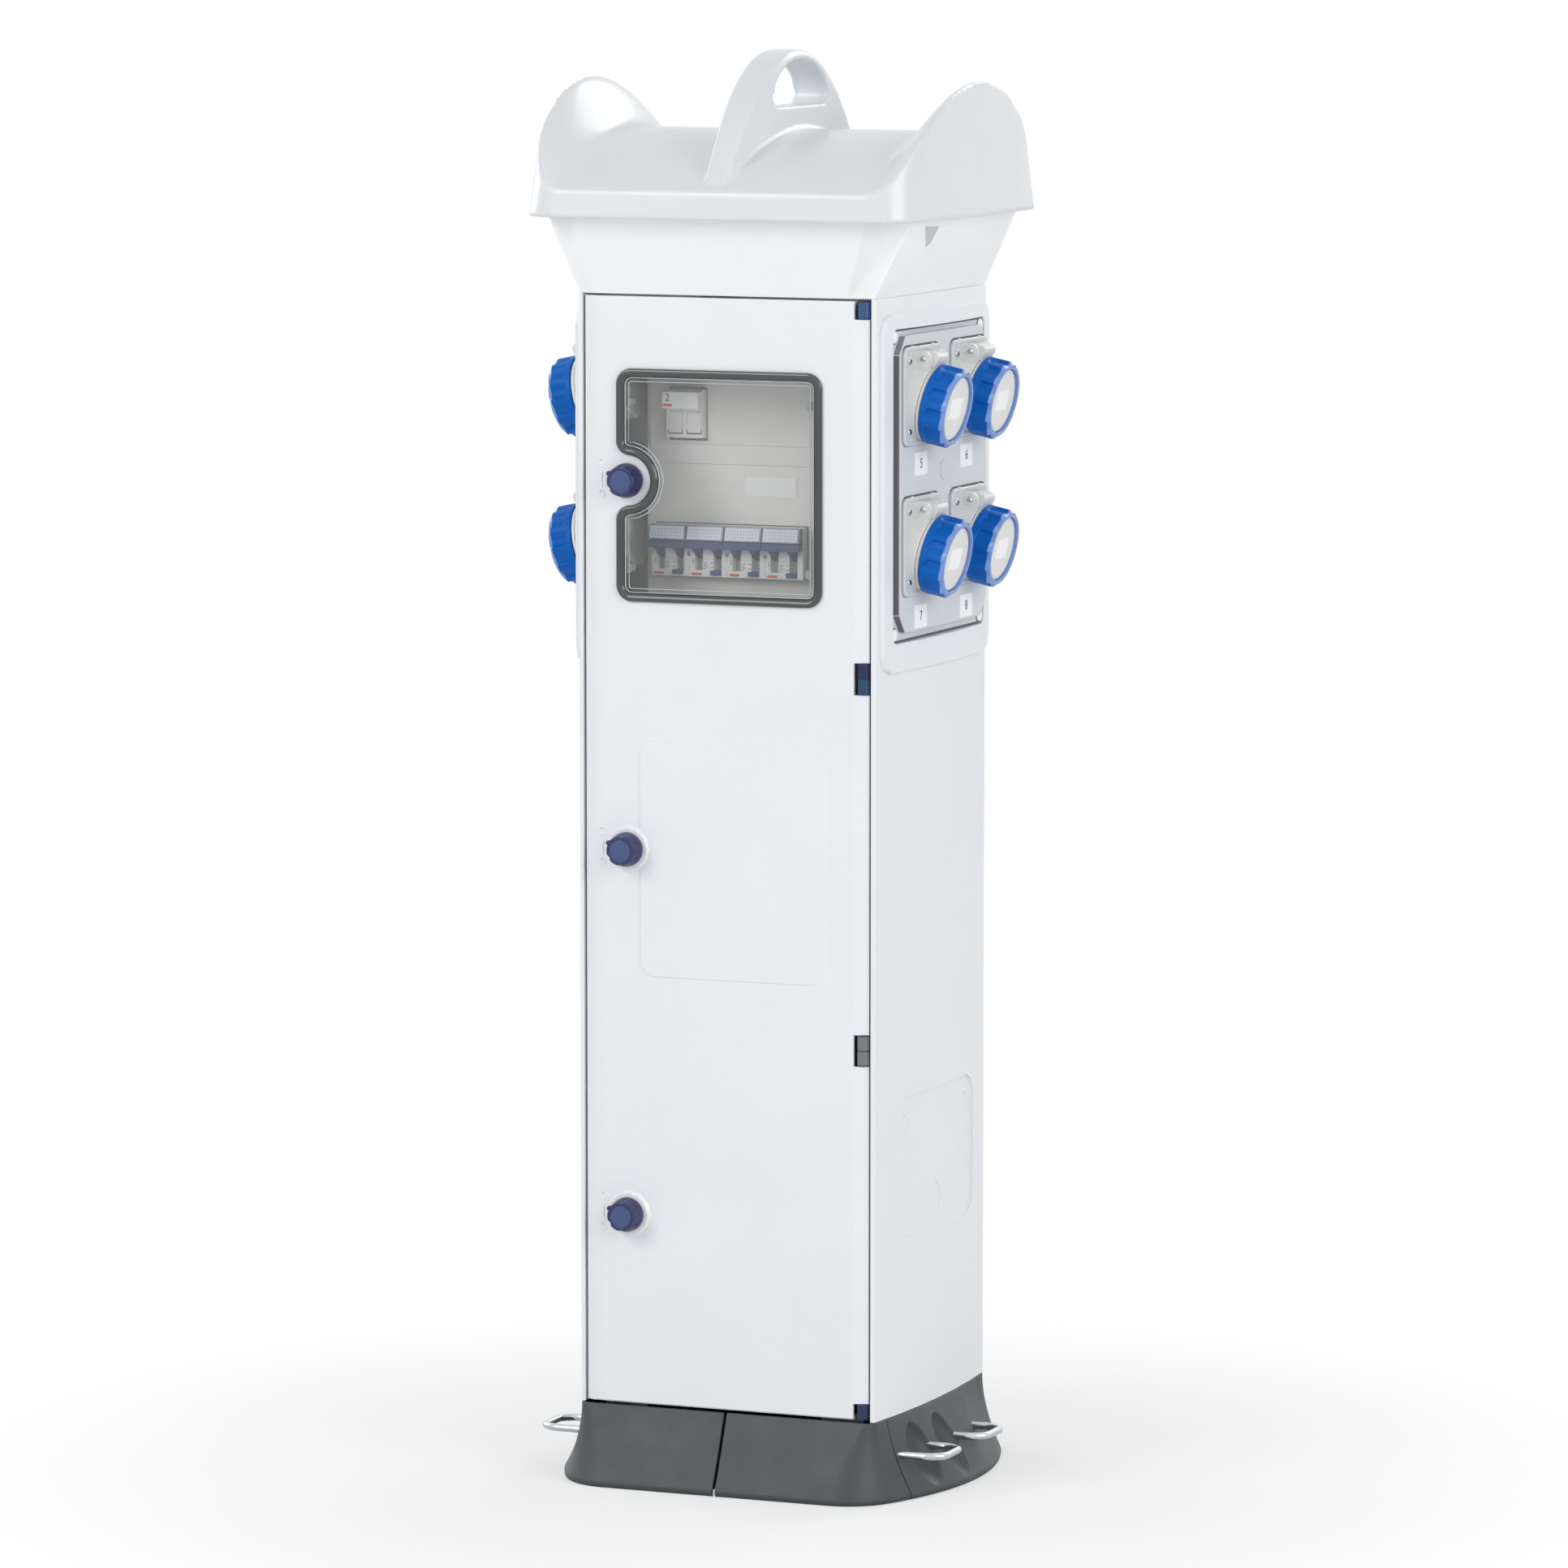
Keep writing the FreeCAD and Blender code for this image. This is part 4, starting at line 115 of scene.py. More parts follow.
def plastic(name, colour, rough, grain, depth, tint, coat=0.0, shine=0.5, stretch=(1, 1, 1), extra=()):
    """Plastic, paint or metal: slight colour drift, uneven gloss and a fine skin texture."""
    material = bpy.data.materials.new(name)
    tree = emptied_tree(material)
    where = add_node(tree, "ShaderNodeTexCoord").outputs["Object"]
    vector = add_node(tree, "ShaderNodeMapping", {"Vector": where, "Scale": stretch}).outputs["Vector"]
    base = linear(colour)
    low, high = (tuple(min(1.0, c * share) for c in base) for share in (1 - tint, 1 + tint))
    skin = {"Height": noise(tree, vector, grain, 2.0), "Strength": 0.35, "Distance": depth}
    values = {
        "Base Color": ramp(tree, noise(tree, vector, 9, 4.0), low, high),
        "Roughness": spread(tree, noise(tree, vector, 26, 5.0, 0.6), *rough),
        "Normal": add_node(tree, "ShaderNodeBump", skin).outputs["Normal"],
        "Specular IOR Level": shine,
    }
    if coat:
        values.update({"Coat Weight": coat, "Coat Roughness": 0.12})
    values.update(extra)
    shader = add_node(tree, "ShaderNodeBsdfPrincipled", values)
    add_node(tree, "ShaderNodeOutputMaterial", {"Surface": shader.outputs["BSDF"]})
    return material


METAL = {"Metallic": 1.0}
DRAWN = (1, 1, 6)
CLEAR = {"Alpha": 0.09}
MILKY = {
    "Subsurface Weight": 0.35, "Subsurface Radius": (1.0, 1.0, 1.0), "Subsurface Scale": 0.02,
    "Emission Color": (1, 1, 1, 1), "Emission Strength": 0.1,
}

# Looks of the record's slots: name, colour, roughness, grain, depth of the skin and colour drift
LOOKS = {
    "body_enamel": plastic("enamel_white", (238, 240, 242), (0.3, 0.44), 1100, 0.00003, 0.012, coat=0.15),
    "steel": plastic("zinc_steel", (170, 172, 174), (0.3, 0.48), 220, 0.00003, 0.06, 0, 0.5, DRAWN, METAL),
    "chrome": plastic("chrome_plate", (205, 207, 210), (0.08, 0.18), 260, 0.00003, 0.06, extra=METAL),
    "plinth_plastic": plastic("plinth_grey", (68, 74, 76), (0.42, 0.6), 1500, 0.00012, 0.05, shine=0.4),
    "opal_plastic": plastic("opal_white", (248, 250, 251), (0.28, 0.4), 700, 0.00004, 0.02, extra=MILKY),
    "cap_plastic": plastic("cap_grey", (224, 227, 229), (0.26, 0.4), 1300, 0.00005, 0.015, coat=0.25),
    "smoke_window": plastic("smoke_pane", (205, 208, 206), (0.04, 0.10), 120, 0.00001, 0.04, extra=CLEAR),
    "gasket_rubber": plastic("gasket_black", (40, 41, 42), (0.6, 0.75), 900, 0.0001, 0.08),
    "navy_plastic": plastic("navy_grip", (44, 50, 94), (0.34, 0.5), 1400, 0.00008, 0.07),
    "socket_grey": plastic("socket_plate_grey", (214, 218, 221), (0.4, 0.55), 1500, 0.00007, 0.02),
    "socket_white": plastic("socket_white", (232, 232, 228), (0.36, 0.5), 1400, 0.00006, 0.02),
    "contact_black": plastic("contact_black", (36, 37, 40), (0.4, 0.6), 1200, 0.0001, 0.08),
    "ring_blue": plastic("ring_blue", (0, 97, 186), (0.34, 0.46), 1500, 0.00006, 0.05, shine=0.18),
    "lid_grey": plastic("lid_grey", (232, 231, 227), (0.36, 0.5), 1500, 0.00006, 0.02),
    "panel_white": plastic("panel_white", (240, 239, 233), (0.42, 0.55), 1200, 0.00006, 0.02),
    "breaker_white": plastic("breaker_white", (244, 244, 241), (0.4, 0.55), 1400, 0.00006, 0.02),
    "lever_blue": plastic("lever_blue", (54, 72, 118), (0.36, 0.5), 1300, 0.00006, 0.05),
    "button_grey": plastic("button_navy", (44, 76, 142), (0.4, 0.55), 1300, 0.00006, 0.05),
    "lamp_white": plastic("lamp_white", (244, 244, 236), (0.15, 0.25), 400, 0.00002, 0.01),
}

# Looks of the pieces made here, with coat and shine after the colour drift
for row in (
    ("paper_label", (250, 250, 249), (0.45, 0.6), 1500, 0.00003, 0.005),
    ("window_frame_dark", (70, 74, 74), (0.1, 0.2), 500, 0.00002, 0.04, 0.4),
    # pale lines on the window frame: painted highlight
    ("window_bead", (196, 202, 203), (0.1, 0.2), 500, 0.00002, 0.03, 0.3),
    ("window_boss_grey", (150, 153, 152), (0.3, 0.45), 900, 0.00004, 0.03),
    # darker grey of the neck fold: painted shade
    ("neck_fold_painted_shade", (196, 200, 203), (0.4, 0.55), 900, 0.00004, 0.02),
    ("hinge_blue", (42, 78, 130), (0.15, 0.28), 900, 0.00004, 0.05, 0.3),
    ("hinge_navy", (16, 34, 78), (0.15, 0.28), 900, 0.00004, 0.05, 0.3),
    ("hinge_teal", (12, 68, 102), (0.15, 0.28), 900, 0.00004, 0.05, 0.3),
    ("hinge_grey", (118, 118, 124), (0.2, 0.32), 900, 0.00004, 0.05, 0.2),
    ("flange_grey", (212, 215, 215), (0.34, 0.48), 1500, 0.00005, 0.02),
    # dark joints, and painted shade in the gaps round flanges, door edges and plate pockets
    ("joint_dark", (98, 101, 104), (0.5, 0.65), 900, 0.00006, 0.06, 0.0, 0.2),
    ("plate_wall_shade", (118, 115, 119), (0.5, 0.65), 900, 0.00006, 0.04, 0.0, 0.2),
    ("plate_slant_shade", (146, 148, 152), (0.5, 0.65), 900, 0.00006, 0.04, 0.0, 0.2),
    # lighter blue on the rings' bevels: painted highlight
    ("ring_edge_blue", (122, 152, 214), (0.22, 0.34), 1500, 0.00004, 0.04),
    ("knob_face_blue", (64, 82, 126), (0.4, 0.55), 1400, 0.00006, 0.05),
    ("holder_blue_grey", (112, 128, 156), (0.2, 0.32), 900, 0.00004, 0.04),
    ("strip_pale_blue", (216, 225, 232), (0.4, 0.55), 900, 0.00004, 0.02),
    ("mark_blue", (104, 122, 160), (0.5, 0.65), 900, 0.00004, 0.04),
    ("mark_orange", (226, 98, 58), (0.45, 0.6), 900, 0.00004, 0.04),
):
    LOOKS[row[0]] = plastic(*row)


# Smooth shading through modifiers

def shade_group(angle):
    """Geometry nodes that shade smooth, with sharp edges beyond an angle."""
    group = bpy.data.node_groups.new("smooth_by_angle_%d" % angle, "GeometryNodeTree")
    for way in ("INPUT", "OUTPUT"):
        group.interface.new_socket("Geometry", in_out=way, socket_type="NodeSocketGeometry")
    start = add_node(group, "NodeGroupInput").outputs[0]
    turn = add_node(group, "GeometryNodeInputMeshEdgeAngle").outputs["Unsigned Angle"]
    beyond = {"A": turn, "B": math.radians(angle)}
    compare = add_node(group, "FunctionNodeCompare", beyond, data_type="FLOAT", operation="GREATER_THAN")
    faces = add_node(group, "GeometryNodeSetShadeSmooth", {"Geometry": start}, domain="FACE")
    sharp = {
        "Geometry": faces.outputs["Geometry"], "Selection": compare.outputs["Result"], "Shade Smooth": False,
    }
    edges = add_node(group, "GeometryNodeSetShadeSmooth", sharp, domain="EDGE")
    add_node(group, "NodeGroupOutput", {0: edges.outputs["Geometry"]})
    return group


SHADE = shade_group(38)


def soften(obj, width, weld=True):
    """Welds split corners, rounds the edges by a width in millimetres and shades by angle."""
    if weld:
        obj.modifiers.new("join", "WELD").merge_threshold = 0.00002
    if width:
        edge = obj.modifiers.new("edges", "BEVEL")
        edge.width = width * MM
        edge.segments = 2
        edge.limit_method = "ANGLE"
        edge.angle_limit = math.radians(35)
        edge.use_clamp_overlap = True
    obj.modifiers.new("shade", "NODES").node_group = SHADE
    weigh = obj.modifiers.new("weigh", "WEIGHTED_NORMAL")
    weigh.keep_sharp = True
    weigh.weight = 80


EDGE_WIDTHS = {
    "body_enamel": 0.9, "cap_plastic": 1.2, "plinth_plastic": 0.8, "opal_plastic": 1.0, "smoke_window": 0.6,
    "socket_grey": 1.0, "socket_white": 0.7, "lid_grey": 0.6, "ring_blue": 0.5, "breaker_white": 0.5,
    "panel_white": 0.6, "navy_plastic": 0.6, "steel": 0.4, "chrome": 0.0, "lever_blue": 0.4,
    "button_grey": 0.3, "contact_black": 0.4, "lamp_white": 0.5, "gasket_rubber": 0.0,
}
for name, obj in NODES.items():
    for slot in obj.material_slots:
        slot.material = LOOKS[SLOT_OF[name]]
    soften(obj, EDGE_WIDTHS[SLOT_OF[name]])


# Mesh helpers

def on_scene(name, data):
    obj = bpy.data.objects.new(name, data)
    bpy.context.scene.collection.objects.link(obj)
    return obj


def dress(obj, look, body, hides=()):
    """Gives a piece its material and body, and hides the CAD nodes it replaces."""
    obj.data.materials.clear()
    obj.data.materials.append(LOOKS[look])
    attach(obj, body)
    if hides:
        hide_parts(*hides)


class Shape:
    """Points and faces gathered from lofts and outlines, in millimetres."""

    def __init__(self):
        self.verts = []
        self.faces = []

    def loft(self, rings, ends=True, round_trip=False, cyclic=True):
        """Joins rings of equal length; ends closes them, round_trip joins last to first."""
        first = len(self.verts)
        count = len(rings[0])
        for ring in rings:
            self.verts += [tuple(spot) for spot in ring]
        total = len(rings)
        for row in range(total if round_trip else total - 1):
            below = first + row * count
            above = first + ((row + 1) % total) * count
            for number in range(count if cyclic else count - 1):
                after = (number + 1) % count
                self.faces.append((below + number, below + after, above + after, above + number))
        if ends and not round_trip:
            self.faces.append(tuple(first + number for number in reversed(range(count))))
            self.faces.append(tuple(first + (total - 1) * count + number for number in range(count)))
        return self

    def outline(self, spots, direction):
        """A prism from an outline along a direction."""
        direction = Vector(direction)
        low = [Vector(spot) for spot in spots]
        return self.loft([low, [spot + direction for spot in low]])

    def moved(self, place):
        """The same faces with every point put through a function."""
        other = Shape()
        other.verts = [tuple(place(Vector(spot))) for spot in self.verts]
        other.faces = list(self.faces)
        return other

    def turned(self, x_sign, y_sign):
        """The shape mirrored in x, in y, or turned by half round the upright axis with both."""
        return self.moved(lambda p: Vector((p.x * x_sign, p.y * y_sign, p.z)))

    def add(self, other):
        first = len(self.verts)
        self.verts += other.verts
        self.faces += [tuple(first + number for number in face) for face in other.faces]
        return self

    def build(self, name):
        """A mesh object with welded points and faces turned outward."""
        mesh = bpy.data.meshes.new(name)
        mesh.from_pydata([Vector(v) * MM for v in self.verts], [], self.faces)
        work = bmesh.new()
        work.from_mesh(mesh)
        bmesh.ops.remove_doubles(work, verts=work.verts, dist=0.00001)
        bmesh.ops.recalc_face_normals(work, faces=work.faces)
        work.to_mesh(mesh)
        work.free()
        return on_scene(name, mesh)

    def piece(self, name, look, body="pedestal", edge=0.0, hides=()):
        """A piece that rides a body, with its look and softened edges."""
        obj = self.build(name)
        soften(obj, edge, weld=False)
        dress(obj, look, body, hides)
        return obj


def build_all(shapes, looks, ending, body="pedestal"):
    """One piece from each named shape, with the look given to its name."""
    for name, look in looks.items():
        shapes[name].piece(name + ending, look, body)


def turns(count):
    return [2 * math.pi * number / count for number in range(count)]


def disc_ring(centre, radius, first=(1, 0, 0), second=UP, count=48):
    """A ring of points round a centre in the plane of two unit vectors."""
    centre, first, second = Vector(centre), Vector(first), Vector(second)
    return [centre + first * (radius * math.cos(a)) + second * (radius * math.sin(a)) for a in turns(count)]


def bar(shape, start, end, radius, second=UP, count=32, soft=0.4):
    """A round bar with softened ends, square to x and a second unit vector."""
    start, end = Vector(start), Vector(end)
    inward = (end - start).normalized() * soft
    levels = ((start, radius - soft), (start + inward, radius), (end - inward, radius), (end, radius - soft))
    return shape.loft([disc_ring(spot, wide, (1, 0, 0), second, count) for spot, wide in levels])


def arc(centre, radius, first, last, steps):
    """Points on an arc in a plane, angles in radians."""
    spots = []
    for step in range(steps + 1):
        angle = first + (last - first) * step / steps
        spots.append((centre[0] + radius * math.cos(angle), centre[1] + radius * math.sin(angle)))
    return spots


def rounded_rectangle(left, right, low, high, radius, steps=6):
    quarter = math.pi / 2
    spots = arc((left + radius, low + radius), radius, 2 * quarter, 3 * quarter, steps)
    spots += arc((right - radius, low + radius), radius, 3 * quarter, 4 * quarter, steps)
    spots += arc((right - radius, high - radius), radius, 0, quarter, steps)
    spots += arc((left + radius, high - radius), radius, quarter, 2 * quarter, steps)
    return spots


def smoothstep(value):
    value = max(0.0, min(1.0, value))
    return value * value * (3 - 2 * value)


class Side:
    """A face of the pedestal: puts across, up and outward in place, with its unit vectors."""

    def __init__(self, name, out, aside):
        self.name, self.out, self.aside = name, Vector(out), Vector(aside)
        self.ending = "_" + name
        self.door = name + "_door"

    def __call__(self, across, up, out):
        return self.aside * across + self.out * out + UP * up

    def discs(self, across, up, rows, count):
        """Rings round an axis that leaves the side, from rows of outward and radius."""
        return [disc_ring(self(across, up, out), radius, self.aside, UP, count) for out, radius in rows]

    def plate(self, shape, rectangle, radius, level, thick, soft=0.3):
        """A thin rounded plate with a softened face."""
        left, right, low, high = rectangle
        rings = []
        for out, inset in ((level, 0.0), (level + thick - soft, 0.0), (level + thick, soft)):
            spots = rounded_rectangle(left + inset, right - inset, low + inset, high - inset, radius)
            rings.append([self(across, up, out) for across, up in spots])
        return shape.loft(rings)

    def ridge(self, shape, line, level, high):
        """A low ridge over an outline of across and up."""
        shape.outline([self(across, up, level) for across, up in line], self.out * high)

    def screw(self, heads, crosses, centre, radius, high):
        """A pan-head screw and its dark cross slot, as two crossing bars."""
        centre = Vector(centre)
        rows = ((0, 1.0), (0.45, 1.0), (0.8, 0.82), (1.0, 0.5))
        heads.loft([
            disc_ring(centre + self.out * (high * level), radius * wide, self.aside, UP, 24)
            for level, wide in rows
        ])
        if crosses is None:
            return
        centre = centre + self.out * (high * 0.75)
        for first, second in ((self.aside, UP), (UP, self.aside)):
            long, thin = first * (radius * 0.62), second * (radius * 0.16)
            spots = [centre - long - thin, centre + long - thin, centre + long + thin, centre - long + thin]
            crosses.outline(spots, self.out * (high * 0.32))


FRONT, REAR = Side("front", (0, -1, 0), (1, 0, 0)), Side("rear", (0, 1, 0), (-1, 0, 0))
RIGHT, LEFT = Side("right", (1, 0, 0), (0, 1, 0)), Side("left", (-1, 0, 0), (0, -1, 0))


# Sockets, lids and rings, about a socket's own centre: x outward, y across, z up

ALONG = Vector((math.cos(SOCKET_TILT), 0, -math.sin(SOCKET_TILT)))
RISE = Vector((math.sin(SOCKET_TILT), 0, math.cos(SOCKET_TILT)))
ASIDE = Vector((0, 1, 0))
SOCKET_CENTRE = Vector((0, 0, -SOCKET_DROP))
PIVOT = Vector((10, 0, 32))
FLANGE_FACE = 2.3
FLANGE_ROWS = ((42.5, 8, 0), (42.5, 8, 2.1), (41.6, 7.1, 3.0), (39.4, 5.6, 3.0), (38.8, 5.2, 2.5))
FLANGE_RIM = (-34, 36.5, 35.6, 38.8)
FLANGE_SHADE_ROWS = ((43.7, 0.0), (43.7, 0.25), (41.0, 0.25), (41.0, 0.0))
COLLAR_ROWS = ((34.0, None), (34.0, 8.8), (33.3, 9.5), (28.0, 9.5), (27.0, 8.6))
COLLAR_BORE = ((27.0, -26.0), (12.0, -26.0))
CUP_ROWS = ((29.0, -0.5), (29.5, -1.0), (29.5, -31.2), (28.7, -32.0))
CHEEK_IN, CHEEK_OUT = 13.0, 19.3
CHEEK_PANEL = (4.6, 12.4, 13.5, 25.5)
WASHER_ROWS = ((19.0, 4.6), (19.8, 4.6), (20.0, 4.4), (20.0, 3.4), (19.5, 3.1))
NUB_CORNERS = ((-2.5, 42), (2.5, 42), (2.0, 43.4), (-2.0, 43.4))
LID_ROWS = (
    (20.0, 10.0), (32.8, 10.0), (33.4, 10.5), (33.4, 12.6), (32.9, 13.1), (28.3, 13.1), (28.3, 32.3),
    (27.9, 33.2), (26.8, 33.5), (25.2, 33.5), (24.9, 33.2), (24.6, 33.5),
)
KNUCKLE = (
    (15.6, 24.0), (15.4, 27.2), (10.8, 26.2), (6.5, 27.6), (4.4, 30.4), (4.0, 33.4), (5.2, 36.2), (7.6, 38.0),
    (12.0, 38.1), (15.5, 37.6), (20.4, 36.0), (21.8, 33.4), (21.1, 29.8), (19.4, 27.6), (18.2, 24.0),
)
KNUCKLE_HALF = 12.5
LABEL_HALF = (13, 9)
RING_STEPS, RING_POINTS = 12, 300
RING_BACK, RING_FRONT, RING_ROUND, RING_BORE = 13.5, 32.9, 34.8, 28.6


def on_axis(radius, angle, level):
    """A point round a socket's tilted axis."""
    out = SOCKET_CENTRE + ALONG * level
    return out + ASIDE * (radius * math.cos(angle)) + RISE * (radius * math.sin(angle))


def axis_rings(profile, count):
    return [[on_axis(radius, angle, level) for angle in turns(count)] for radius, level in profile]


def square_spot(angle, half, radius, level):
    """The point of a rounded square in the direction of an angle."""
    c, s = math.cos(angle), math.sin(angle)
    reach = half / max(abs(c), abs(s))
    if min(abs(c), abs(s)) * reach > half - radius:
        corner = half - radius
        middle = corner * (abs(c) + abs(s))
        reach = middle + math.sqrt(middle ** 2 - (2 * corner ** 2 - radius ** 2))
    return Vector((level, reach * c, reach * s))


def collar_root(angle, radius):
    """How far along the axis a round collar leaves the flange."""
    return (FLANGE_FACE - radius * math.sin(angle) * math.sin(SOCKET_TILT)) / math.cos(SOCKET_TILT)


def flange_shape():
    """The square flange with its bevelled edge."""
    shape = Shape().loft([
        [square_spot(a, half, radius, level) for a in turns(96)] for half, radius, level in FLANGE_ROWS
    ])
    rim = rounded_rectangle(*FLANGE_RIM, 1.4, 4)
    return shape.outline([Vector((FLANGE_FACE, y, z)) for y, z in rim], (0.7, 0, 0))


def flange_shade_shape():
    """A dark rim round a flange, shifted up and across: painted shade in the gap round it."""
    shift = Vector((0, 0.5, 0.5))
    rings = [[square_spot(a, half, 9, level) + shift for a in turns(96)] for half, level in FLANGE_SHADE_ROWS]
    return Shape().loft(rings, round_trip=True)


def collar_shape():
    """The tilted collar, the cup behind it and the two cheeks that hold the hinge pin."""
    rings = []
    for radius, level in COLLAR_ROWS:
        ring = []
        for a in turns(96):
            root = collar_root(a, radius)
            ring.append(on_axis(radius, a, root if level is None else max(level, root)))
        rings.append(ring)
    shape = Shape().loft(rings + axis_rings(COLLAR_BORE, 96))
    shape.loft(axis_rings(CUP_ROWS, 48))
    cheek = [(FLANGE_FACE, 11), (13.0, 12), (15.2, 23), (16.6, 29)]
    cheek += [(PIVOT.x + x, PIVOT.z + z) for x, z in arc((0, 0), 6.6, 0.0, 1.57, 8)] + [(FLANGE_FACE, 38.6)]
    panel = rounded_rectangle(*CHEEK_PANEL, 1.2, 3)
    for side in (-1, 1):
        thick = ASIDE * (side * (CHEEK_OUT - CHEEK_IN))
        shape.outline([Vector((x, side * CHEEK_IN, z)) for x, z in cheek], thick)
        shape.outline([Vector((x, side * CHEEK_OUT, z)) for x, z in panel], (0, side * 0.35, 0))
        shape.loft([
            disc_ring(PIVOT + ASIDE * (side * level), radius, count=28) for level, radius in WASHER_ROWS
        ])
        shape.outline([Vector((1.0, side * 24 + y, z)) for y, z in NUB_CORNERS], (2, 0, 0))
    return shape


def pin_shape():
    """The lid's hinge pin with its two round heads."""
    shape = Shape()
    for side in (-1, 1):
        bar(shape, PIVOT + ASIDE * (side * 12.9), PIVOT + ASIDE * (side * 20.6), 2.5, UP, 20, 0.8)
    return shape


def lid_shape():
    """The lid's disc and flange with the broad knuckle that swings on the pin."""
    shape = Shape().loft(axis_rings(LID_ROWS, 72))
    return shape.outline([Vector((x, -KNUCKLE_HALF, z)) for x, z in KNUCKLE], (0, 2 * KNUCKLE_HALF, 0))


def lid_label_shape():
    wide, high = LABEL_HALF
    spots = rounded_rectangle(-wide, wide, -high, high, 1.5, 3)
    return Shape().loft([
        [
            SOCKET_CENTRE + ALONG * level + ASIDE * (a * (1 - inset / wide)) + RISE * (u * (1 - inset / high))
            for a, u in spots
        ]
        for level, inset in ((33.45, 0.0), (33.62, 0.1))
    ])


def ring_hollow(angle, level):
    """Depth of the finger steps round a locking ring: a sharp drop that eases back out."""
    turn = (angle / (2 * math.pi) * RING_STEPS) % 1.0
    begin = 17.4 + 2.8 * smoothstep((0.35 - turn) / 0.35)
    if level <= begin:
        return 0.0
    drop = smoothstep(turn / 0.06) * (1 - smoothstep((turn - 0.35) / 0.5))
    return 2.6 * drop * smoothstep((level - begin) / 1.4)


def ring_shape():
    rings = []
    for level in [RING_BACK, 14.1] + [15.4 + 17.5 * step / 18 for step in range(19)]:
        wide = RING_ROUND - 0.5 if level == RING_BACK else RING_ROUND
        rings.append([on_axis(wide - ring_hollow(a, level), a, level) for a in turns(RING_POINTS)])
    rings += axis_rings(((RING_BORE, RING_FRONT), (RING_BORE, RING_BACK)), RING_POINTS)
    return Shape().loft(rings, round_trip=True)


def ring_edge_shape():
    """The bevelled edge of a locking ring, in a lighter blue: a painted highlight."""
    rings = []
    for share in (0.0, 0.5, 1.0):
        ring = []
        for a in turns(RING_POINTS):
            wide = RING_ROUND - ring_hollow(a, RING_FRONT)
            ring.append(on_axis(wide + (31.6 - wide) * share, a, RING_FRONT + 2.9 * share))
        rings.append(ring)
    rows = ((31.2, 36.0), (28.9, 36.0), (RING_BORE, 35.7), (RING_BORE, RING_FRONT))
    return Shape().loft(rings + axis_rings(rows, RING_POINTS), round_trip=True)


def make_sockets():
    heads, crosses = Shape(), Shape()
    for across in (-31.5, 31.5):
        for up in (-30.5, 30.5):
            RIGHT.screw(heads, crosses, (2.4, across, up), 3.2, 1.7)
    fixed = {
        "flanges": (flange_shape(), "flange_grey", ("socket_housings",)),
        # dark rims round the flanges: painted shade in the gap round each flange
        "flange_painted_shade": (flange_shade_shape(), "joint_dark", ()),
        "collars": (collar_shape(), "socket_white", ("socket_housings",)),
        "lid_pins": (pin_shape(), "chrome", ()),
        "flange_screws": (heads, "chrome", ()),
        "flange_screw_slots": (crosses, "contact_black", ()),
    }
    lid, label, ring, edge = lid_shape(), lid_label_shape(), ring_shape(), ring_edge_shape()
    gathered = defaultdict(Shape)
    places = [(side, *place) for side in (LEFT, RIGHT) for place in SOCKET_PLACES]
    for number, (side, across, up) in enumerate(places, 1):

        def place(spot, side=side, across=across, up=up):
            return side(across + spot.y, up + spot.z, PLATEAU_FACE + spot.x)

        for name, (shape, _, _) in fixed.items():
            gathered[name].add(shape.moved(place))
        body = "socket_lid_%d" % number
        lid.moved(place).piece("lid_%d" % number, "lid_grey", body, 0.25, (body,))
        label.moved(place).piece("lid_label_%d" % number, "paper_label", body)
        body = "locking_ring_%d" % number
        ring.moved(place).piece("ring_%d" % number, "ring_blue", body, hides=(body,))
        edge.moved(place).piece("ring_edge_%d" % number, "ring_edge_blue", body)
    for name, (_, look, hides) in fixed.items():
        gathered[name].piece(name, look, hides=hides)


# Locks

KNOB_LONG, KNOB_BACK, KNOB_SINK = 16, 0.4, 0.97
KNOB_ROWS = [(0.0, 14.4), (0.03, 15.0), (0.25, 15.0), (0.3, 14.85)]
KNOB_ROWS += [(0.3 + 0.65 * s / 8, 14.85 - 1.95 * s / 8) for s in range(1, 9)] + [(0.985, 12.6), (1.0, 12.1)]
CAM = ((-6, -6), (6, -6), (6, 28), (4, 31), (-4, 31), (-6, 28))


def knob_shape(face):
    """The navy grip with six finger grooves and its sunken disc, in front of a door face."""
    base = -face - KNOB_BACK
    points = 144
    rings = []
    for share, radius in KNOB_ROWS:
        ring = []
        for a in turns(points):
            side = abs((a / (2 * math.pi) * 6) % 1.0 - 0.5) * 2
            dent = 1.1 * smoothstep((0.42 - side) / 0.3) * smoothstep((share - 0.3) / 0.3)
            reach = radius - dent
            ring.append(Vector((reach * math.cos(a), base - KNOB_LONG * share, reach * math.sin(a))))
        rings.append(ring)
    for radius, share in ((10.3, 1.0), (9.9, KNOB_SINK), (1.0, KNOB_SINK)):
        rings.append(disc_ring((0, base - KNOB_LONG * share, 0), radius, count=points))
    shape = Shape().loft(rings)
    nub_turn, nub_reach = 2.6, 12.9
    nub = Vector((nub_reach * math.cos(nub_turn), base - 9.6, nub_reach * math.sin(nub_turn)))
    bar(shape, nub, nub + Vector((0, -6.4, 0)), 2.2, UP, 20)
    bar(shape, (0, base + 0.2, 0), (0, -108.2, 0), 4.0)
    return shape.outline([Vector((x, -111.5, z)) for x, z in CAM], (0, 3, 0))


